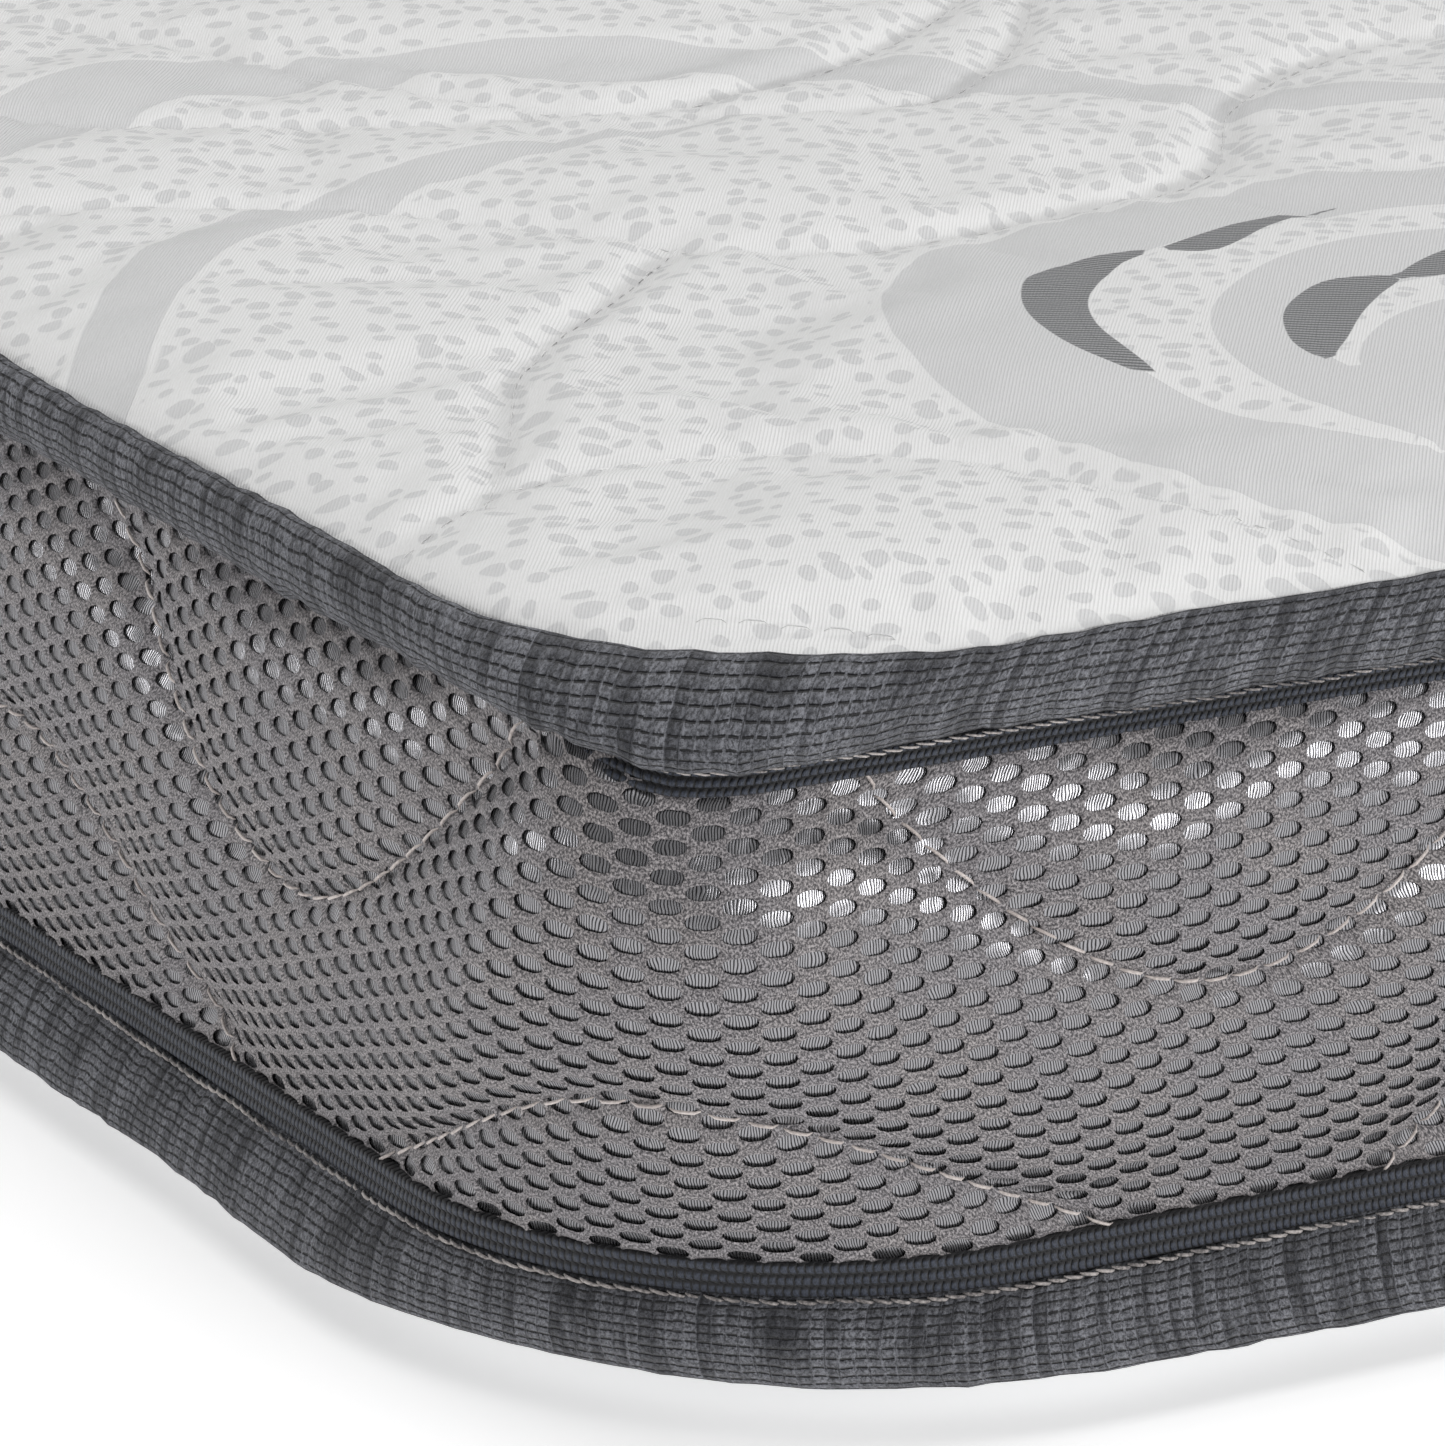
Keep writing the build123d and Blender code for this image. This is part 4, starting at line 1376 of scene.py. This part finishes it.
def knit_material():
    knit = Recipe("panel_knit", roughness=0.72, specular=0.3)
    place = knit.coordinates()
    pale, dark, seam = knit.attribute("pale"), knit.attribute("dark"), knit.attribute("seam")
    bend = knit.node("ShaderNodeTexNoise", Vector=place, Scale=150.0, Detail=1.0)
    bent = knit.node("ShaderNodeMixRGB", Fac=0.0045, Color1=place, Color2=bend.outputs["Color"]).outputs[0]
    cells = knit.node(
        "ShaderNodeTexVoronoi", {"voronoi_dimensions": "2D"},
        Vector=knit.scaled(bent, (1.0, 0.98, 1), radians(20)), Scale=1 / DOT_PITCH, Randomness=0.58,
    )
    shade = knit.node("ShaderNodeSeparateColor", Color=cells.outputs["Color"])
    size = knit.ramp(shade.outputs[0], 0.0, 1.0, 0.22, 0.36)
    inside = knit.math("SUBTRACT", size, cells.outputs["Distance"])
    dots = knit.math("MULTIPLY", knit.ramp(inside, -0.02, 0.05), knit.ramp(pale, 0.9, 1.7))
    bands = knit.ramp(pale, 0.12, -0.12)
    grey = knit.math("MAXIMUM", dots, bands)
    twill_space = knit.scaled(place, (1, 1, 1), radians(37))
    lines = knit.node(
        "ShaderNodeTexWave", {"bands_direction": "X"}, Vector=twill_space, Scale=760.0, Distortion=0.8
    )
    grain = knit.noise(place, 3000.0, 1.0)
    stitches = knit.math("MULTIPLY_ADD", lines.outputs["Fac"], 0.6, knit.math("MULTIPLY", grain, 0.4))
    white = knit.mix(stitches, (0.79, 0.787, 0.78, 1), (0.855, 0.855, 0.852, 1))
    pale_grey = knit.mix(stitches, (0.64, 0.642, 0.645, 1), (0.735, 0.735, 0.735, 1))
    color = knit.mix(grey, white, pale_grey)
    ribs = knit.node(
        "ShaderNodeTexWave", {"bands_direction": "X"},
        Vector=knit.scaled(place, (1, 1, 1), radians(-52)), Scale=300.0, Distortion=1.2, Detail=1.0,
    )
    weave = knit.mix(ribs.outputs["Fac"], (0.10, 0.103, 0.108, 1), (0.37, 0.372, 0.378, 1))
    in_dark = knit.ramp(dark, 0.10, -0.10)
    color = knit.mix(in_dark, color, weave)
    color = knit.mix(knit.ramp(seam, 1.6, 0.2, 0.0, 0.25), color, (0.84, 0.84, 0.84, 1))
    sparkle = knit.noise(knit.scaled(twill_space, (4200.0, 900.0, 1)), 1.0, 1.0)
    thread = knit.math("MULTIPLY", knit.ramp(sparkle, 0.62, 0.68), grey)
    rough = knit.ramp(thread, 0.0, 1.0, 0.72, 0.28)
    height = knit.math("SUBTRACT", stitches, knit.math("MULTIPLY", grey, 0.7))
    return knit.finish(color, height, 0.00010, 0.9, roughness=rough, sheen=0.08)


KNIT = knit_material()
panel_points = top_panel_points()
top_panel = closed_panel("top_panel", panel_points, PANEL_LOW_Z - 0.6, KNIT)
pale_mm, dark_mm = pattern_distances(np.stack([fine_x.ravel(), fine_y.ravel()], -1))
for name, values in (("pale", pale_mm), ("dark", dark_mm), ("seam", fine_seam)):
    keep_on_panel(top_panel, name, values)
print("top panel", sum(len(p.vertices) - 2 for p in top_panel.data.polygons), "triangles")

# %% [markdown]
# ## The fibre under the knit
# The panel's fibre follows the knit a little below it, pinched to almost nothing along the quilting. It is made
# from the same height, so it can't come through.

# %% Top wadding
BATT_BELOW, BATT_STEP = 2.2, 4
WHITE_FIBRE = (0.80, 0.80, 0.78, 1), (0.66, 0.66, 0.64, 1)


def top_batt_points():
    """Every fourth grid point of the panel, at the lowest height around it and a little below."""
    z = panel_points[..., 2].copy()
    for axis in (0, 1):
        for _ in range(BATT_STEP):
            z = np.minimum(z, np.minimum(np.roll(z, 1, axis), np.roll(z, -1, axis)))
    kept = np.ix_(*(np.unique(np.append(np.arange(0, size, BATT_STEP), size - 1)) for size in z.shape))
    shrink = 1 - 1.2 / np.array([HALF_LENGTH, HALF_WIDTH])
    low = np.maximum(z[kept] - BATT_BELOW, PANEL_LOW_Z - 3.0)
    return np.stack([fine_x[kept] * shrink[0], fine_y[kept] * shrink[1], low], -1)


top_batt = closed_panel(
    "top_batt", top_batt_points(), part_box("top_panel_wadding")[0].z / MM + 0.1,
    fibre_material("top_fibre", *WHITE_FIBRE),
)
print("top wadding", len(top_batt.data.polygons), "faces")

# %% [markdown]
# ## Stitches on the top
# The top's quilting is sewn in white, almost the cloth's own colour, and mostly sinks into the valleys. Short
# stitches lie in every valley all the same, because a close look finds them.

# %% Top quilting stitches
TOP_STITCH = 4.0


def height_reader(points):
    """Height of the panel's surface near a place, read from the nearest points of its grid."""
    xs, ys = middle_lines(points[..., 0], points[..., 1])

    def read(x, y):
        i = np.clip(np.searchsorted(xs, x) - 1, 0, len(xs) - 2)
        j = np.clip(np.searchsorted(ys, y) - 1, 0, len(ys) - 2)
        s = np.clip((x - xs[i]) / (xs[i + 1] - xs[i]), 0, 1)
        t = np.clip((y - ys[j]) / (ys[j + 1] - ys[j]), 0, 1)
        z = points[..., 2]
        return (z[i, j] * (1 - s) * (1 - t) + z[i + 1, j] * s * (1 - t) + z[i, j + 1] * (1 - s) * t
                + z[i + 1, j + 1] * s * t)

    return read


panel_height = height_reader(panel_points)


def top_runs():
    """The quilting lines laid on the panel, without what runs into the rim."""
    runs = []
    for line in quilt_lines:
        x, y = evenly(line, 2.0)
        shown = (np.abs(x) < HALF_LENGTH) & (np.abs(y) < HALF_WIDTH)
        shown &= from_edge(x, y) > 3.5
        for run in np.split(np.arange(len(x)), np.flatnonzero(~shown)):
            run = run[shown[run]]
            if len(run) > 3:
                points = np.stack([x[run], y[run], panel_height(x[run], y[run]) - 0.06], -1)
                runs.append((points, np.tile((0.0, 0.0, 1.0), (len(run), 1)), False))
    return runs


PANEL_YARN = thread_material("panel_yarn", (0.90, 0.90, 0.89, 1), (0.78, 0.78, 0.78, 1))
top_stitches = sew("top_stitches", top_runs(), TOP_STITCH, stitch_shape(3.3, 0.13, 0.4, sides=3), PANEL_YARN)

# %% [markdown]
# ## The underside
# The base panel is plain: the same kind of quilting in wide diamonds over a thin wadding, in pale grey cloth
# without a pattern. Its rim rises to the bottom roll's seam. Nobody looks at it for long, so its swells are a
# formula.

# %% Base panel
BASE_CELL, BASE_GRID = 130.0, 9.0
BASE_RIM = {"inset": 11.0, "radius": 66.0}


def base_cloth_material():
    cloth = Recipe("base_cloth", roughness=0.8, specular=0.25)
    place = cloth.coordinates()
    warp, weft = (
        cloth.node(
            "ShaderNodeTexWave", {"bands_direction": axis}, Vector=place, Scale=330.0, Distortion=0.8
        ).outputs["Fac"]
        for axis in "XY"
    )
    weave = cloth.math("MULTIPLY_ADD", warp, 0.5, cloth.math("MULTIPLY", weft, 0.5))
    light = cloth.mix(cloth.noise(place, 40.0, 3.0), (0.44, 0.445, 0.455, 1), (0.52, 0.525, 0.53, 1))
    color = cloth.mix(weave, (0.30, 0.305, 0.315, 1), light)
    return cloth.finish(color, weave, 0.00015, 0.8, sheen=0.1)


base_x, base_y = panel_grid(BASE_GRID, BASE_GRID, **BASE_RIM)
base_edge = from_edge(base_x, base_y, **BASE_RIM)
base_seam = np.minimum(
    *(np.abs(((base_x + s * base_y) / BASE_CELL + 0.5) % 1 - 0.5) * BASE_CELL for s in (1, -1))
)
base_z = 0.2 + 4.9 * np.exp(-base_edge / 9) + 1.9 * np.exp(-base_seam / 9) * np.clip(base_edge / 20, 0, 1)
base_panel = closed_panel(
    "base_panel", np.stack([base_x, base_y, np.minimum(base_z, BASE_SEAM_Z)], -1), BASE_SEAM_Z + 0.9,
    base_cloth_material(), turned=True,
)
print("base panel", len(base_panel.data.polygons), "faces")

# %% [markdown]
# ## Finishes of the core
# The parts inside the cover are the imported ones. They don't show while the cover is on, but each gets its own
# finish for when the cover comes off: open foams for the core, a smooth fine knit for the sock, matted fibre
# for wadding and fleece.

# %% Foam, sock and fleece


def foam_material(name, color, cell):
    """Cut foam: small round cells that are darker inside."""
    foam = Recipe(name, roughness=0.95, specular=0.15)
    place = foam.coordinates()
    cells = foam.node("ShaderNodeTexVoronoi", Vector=place, Scale=cell).outputs["Distance"]
    patch = foam.noise(place, 25.0, 2.0)
    shade = foam.mix(foam.ramp(cells, 0.1, 0.6), tuple(c * 0.7 for c in color[:3]) + (1,), color)
    tint = foam.mix(patch, shade, color)
    return foam.finish(tint, cells, 0.0005, 0.6)


CORE_FINISHES = {
    "visco_foam_layer": foam_material("visco_foam", (0.80, 0.76, 0.62, 1), 900.0),
    "castellated_foam_layer": foam_material("castellated_foam", (0.55, 0.62, 0.70, 1), 700.0),
    "base_foam": foam_material("base_foam", (0.62, 0.62, 0.60, 1), 600.0),
    "left_side_rail": foam_material("rail_foam", (0.40, 0.43, 0.47, 1), 650.0),
}
for node in ("right_side_rail", "head_rail", "foot_rail"):
    CORE_FINISHES[node] = CORE_FINISHES["left_side_rail"]
fleece = fibre_material("fleece", *WHITE_FIBRE)
for node in ("top_panel_backing", "base_panel_wadding", "base_panel_backing"):
    CORE_FINISHES[node] = fleece
CORE_FINISHES["inner_sock"] = fibre_material("sock_knit", (0.74, 0.74, 0.73, 1), (0.60, 0.60, 0.60, 1))
for node, material in CORE_FINISHES.items():
    held = frame["nodes"][node]
    held.data.materials.clear()
    held.data.materials.append(material)
print(len(CORE_FINISHES), "parts of the core finished")

# %% [markdown]
# ## Every piece in its place
# Each piece rides on the one body and stands for the plain solid it was made from, which is hidden. The tables
# also list each piece's slot of finish, how full each padded piece is, and the area in square metres that lies
# outside each tape's seams; nothing below reads them.

# %% Pieces on the body
PIECES = (
    (top_panel, "panel_knit", 0.7, ("top_panel_cloth",)),
    (top_batt, "quilt_fibre", 0.6, ("top_panel_wadding",)),
    (top_roll, "chenille", 0.8, ("top_chenille_band", "top_band_filler")),
    (mesh_net, "spacer_mesh", 0.4, ("mesh_border",)),
    (mesh_threads, "spacer_mesh", 0.4, ()),
    (border_batt, "quilt_fibre", 0.4, ("border_wadding", "border_backing")),
    (low_roll, "chenille", 0.8, ("bottom_chenille_band", "bottom_band_filler")),
    (base_panel, "base_cloth", 0.5, ("base_panel_cloth",)),
)
for piece, slot, fill, nodes in PIECES:
    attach(piece, BODY)
    if nodes:
        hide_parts(*nodes)
TAPES = ((top_tape, "top_binding_tape", 0.0204), (low_tape, "bottom_binding_tape", 0.0335))
for piece, node, area in TAPES:
    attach(piece, BODY)
    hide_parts(node)
THREADS = (
    (top_stitches, "quilting_yarn", "top_quilting_thread"),
    (border_stitches, "border_yarn", "border_quilting_thread"),
    (top_thread, "tape_yarn", "top_tape_thread"),
    (low_thread, "tape_yarn", "bottom_tape_thread"),
)
for piece, slot, node in THREADS:
    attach(piece, BODY)
    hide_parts(node)
print(len(PIECES) + len(TAPES) + len(THREADS), "pieces declared")
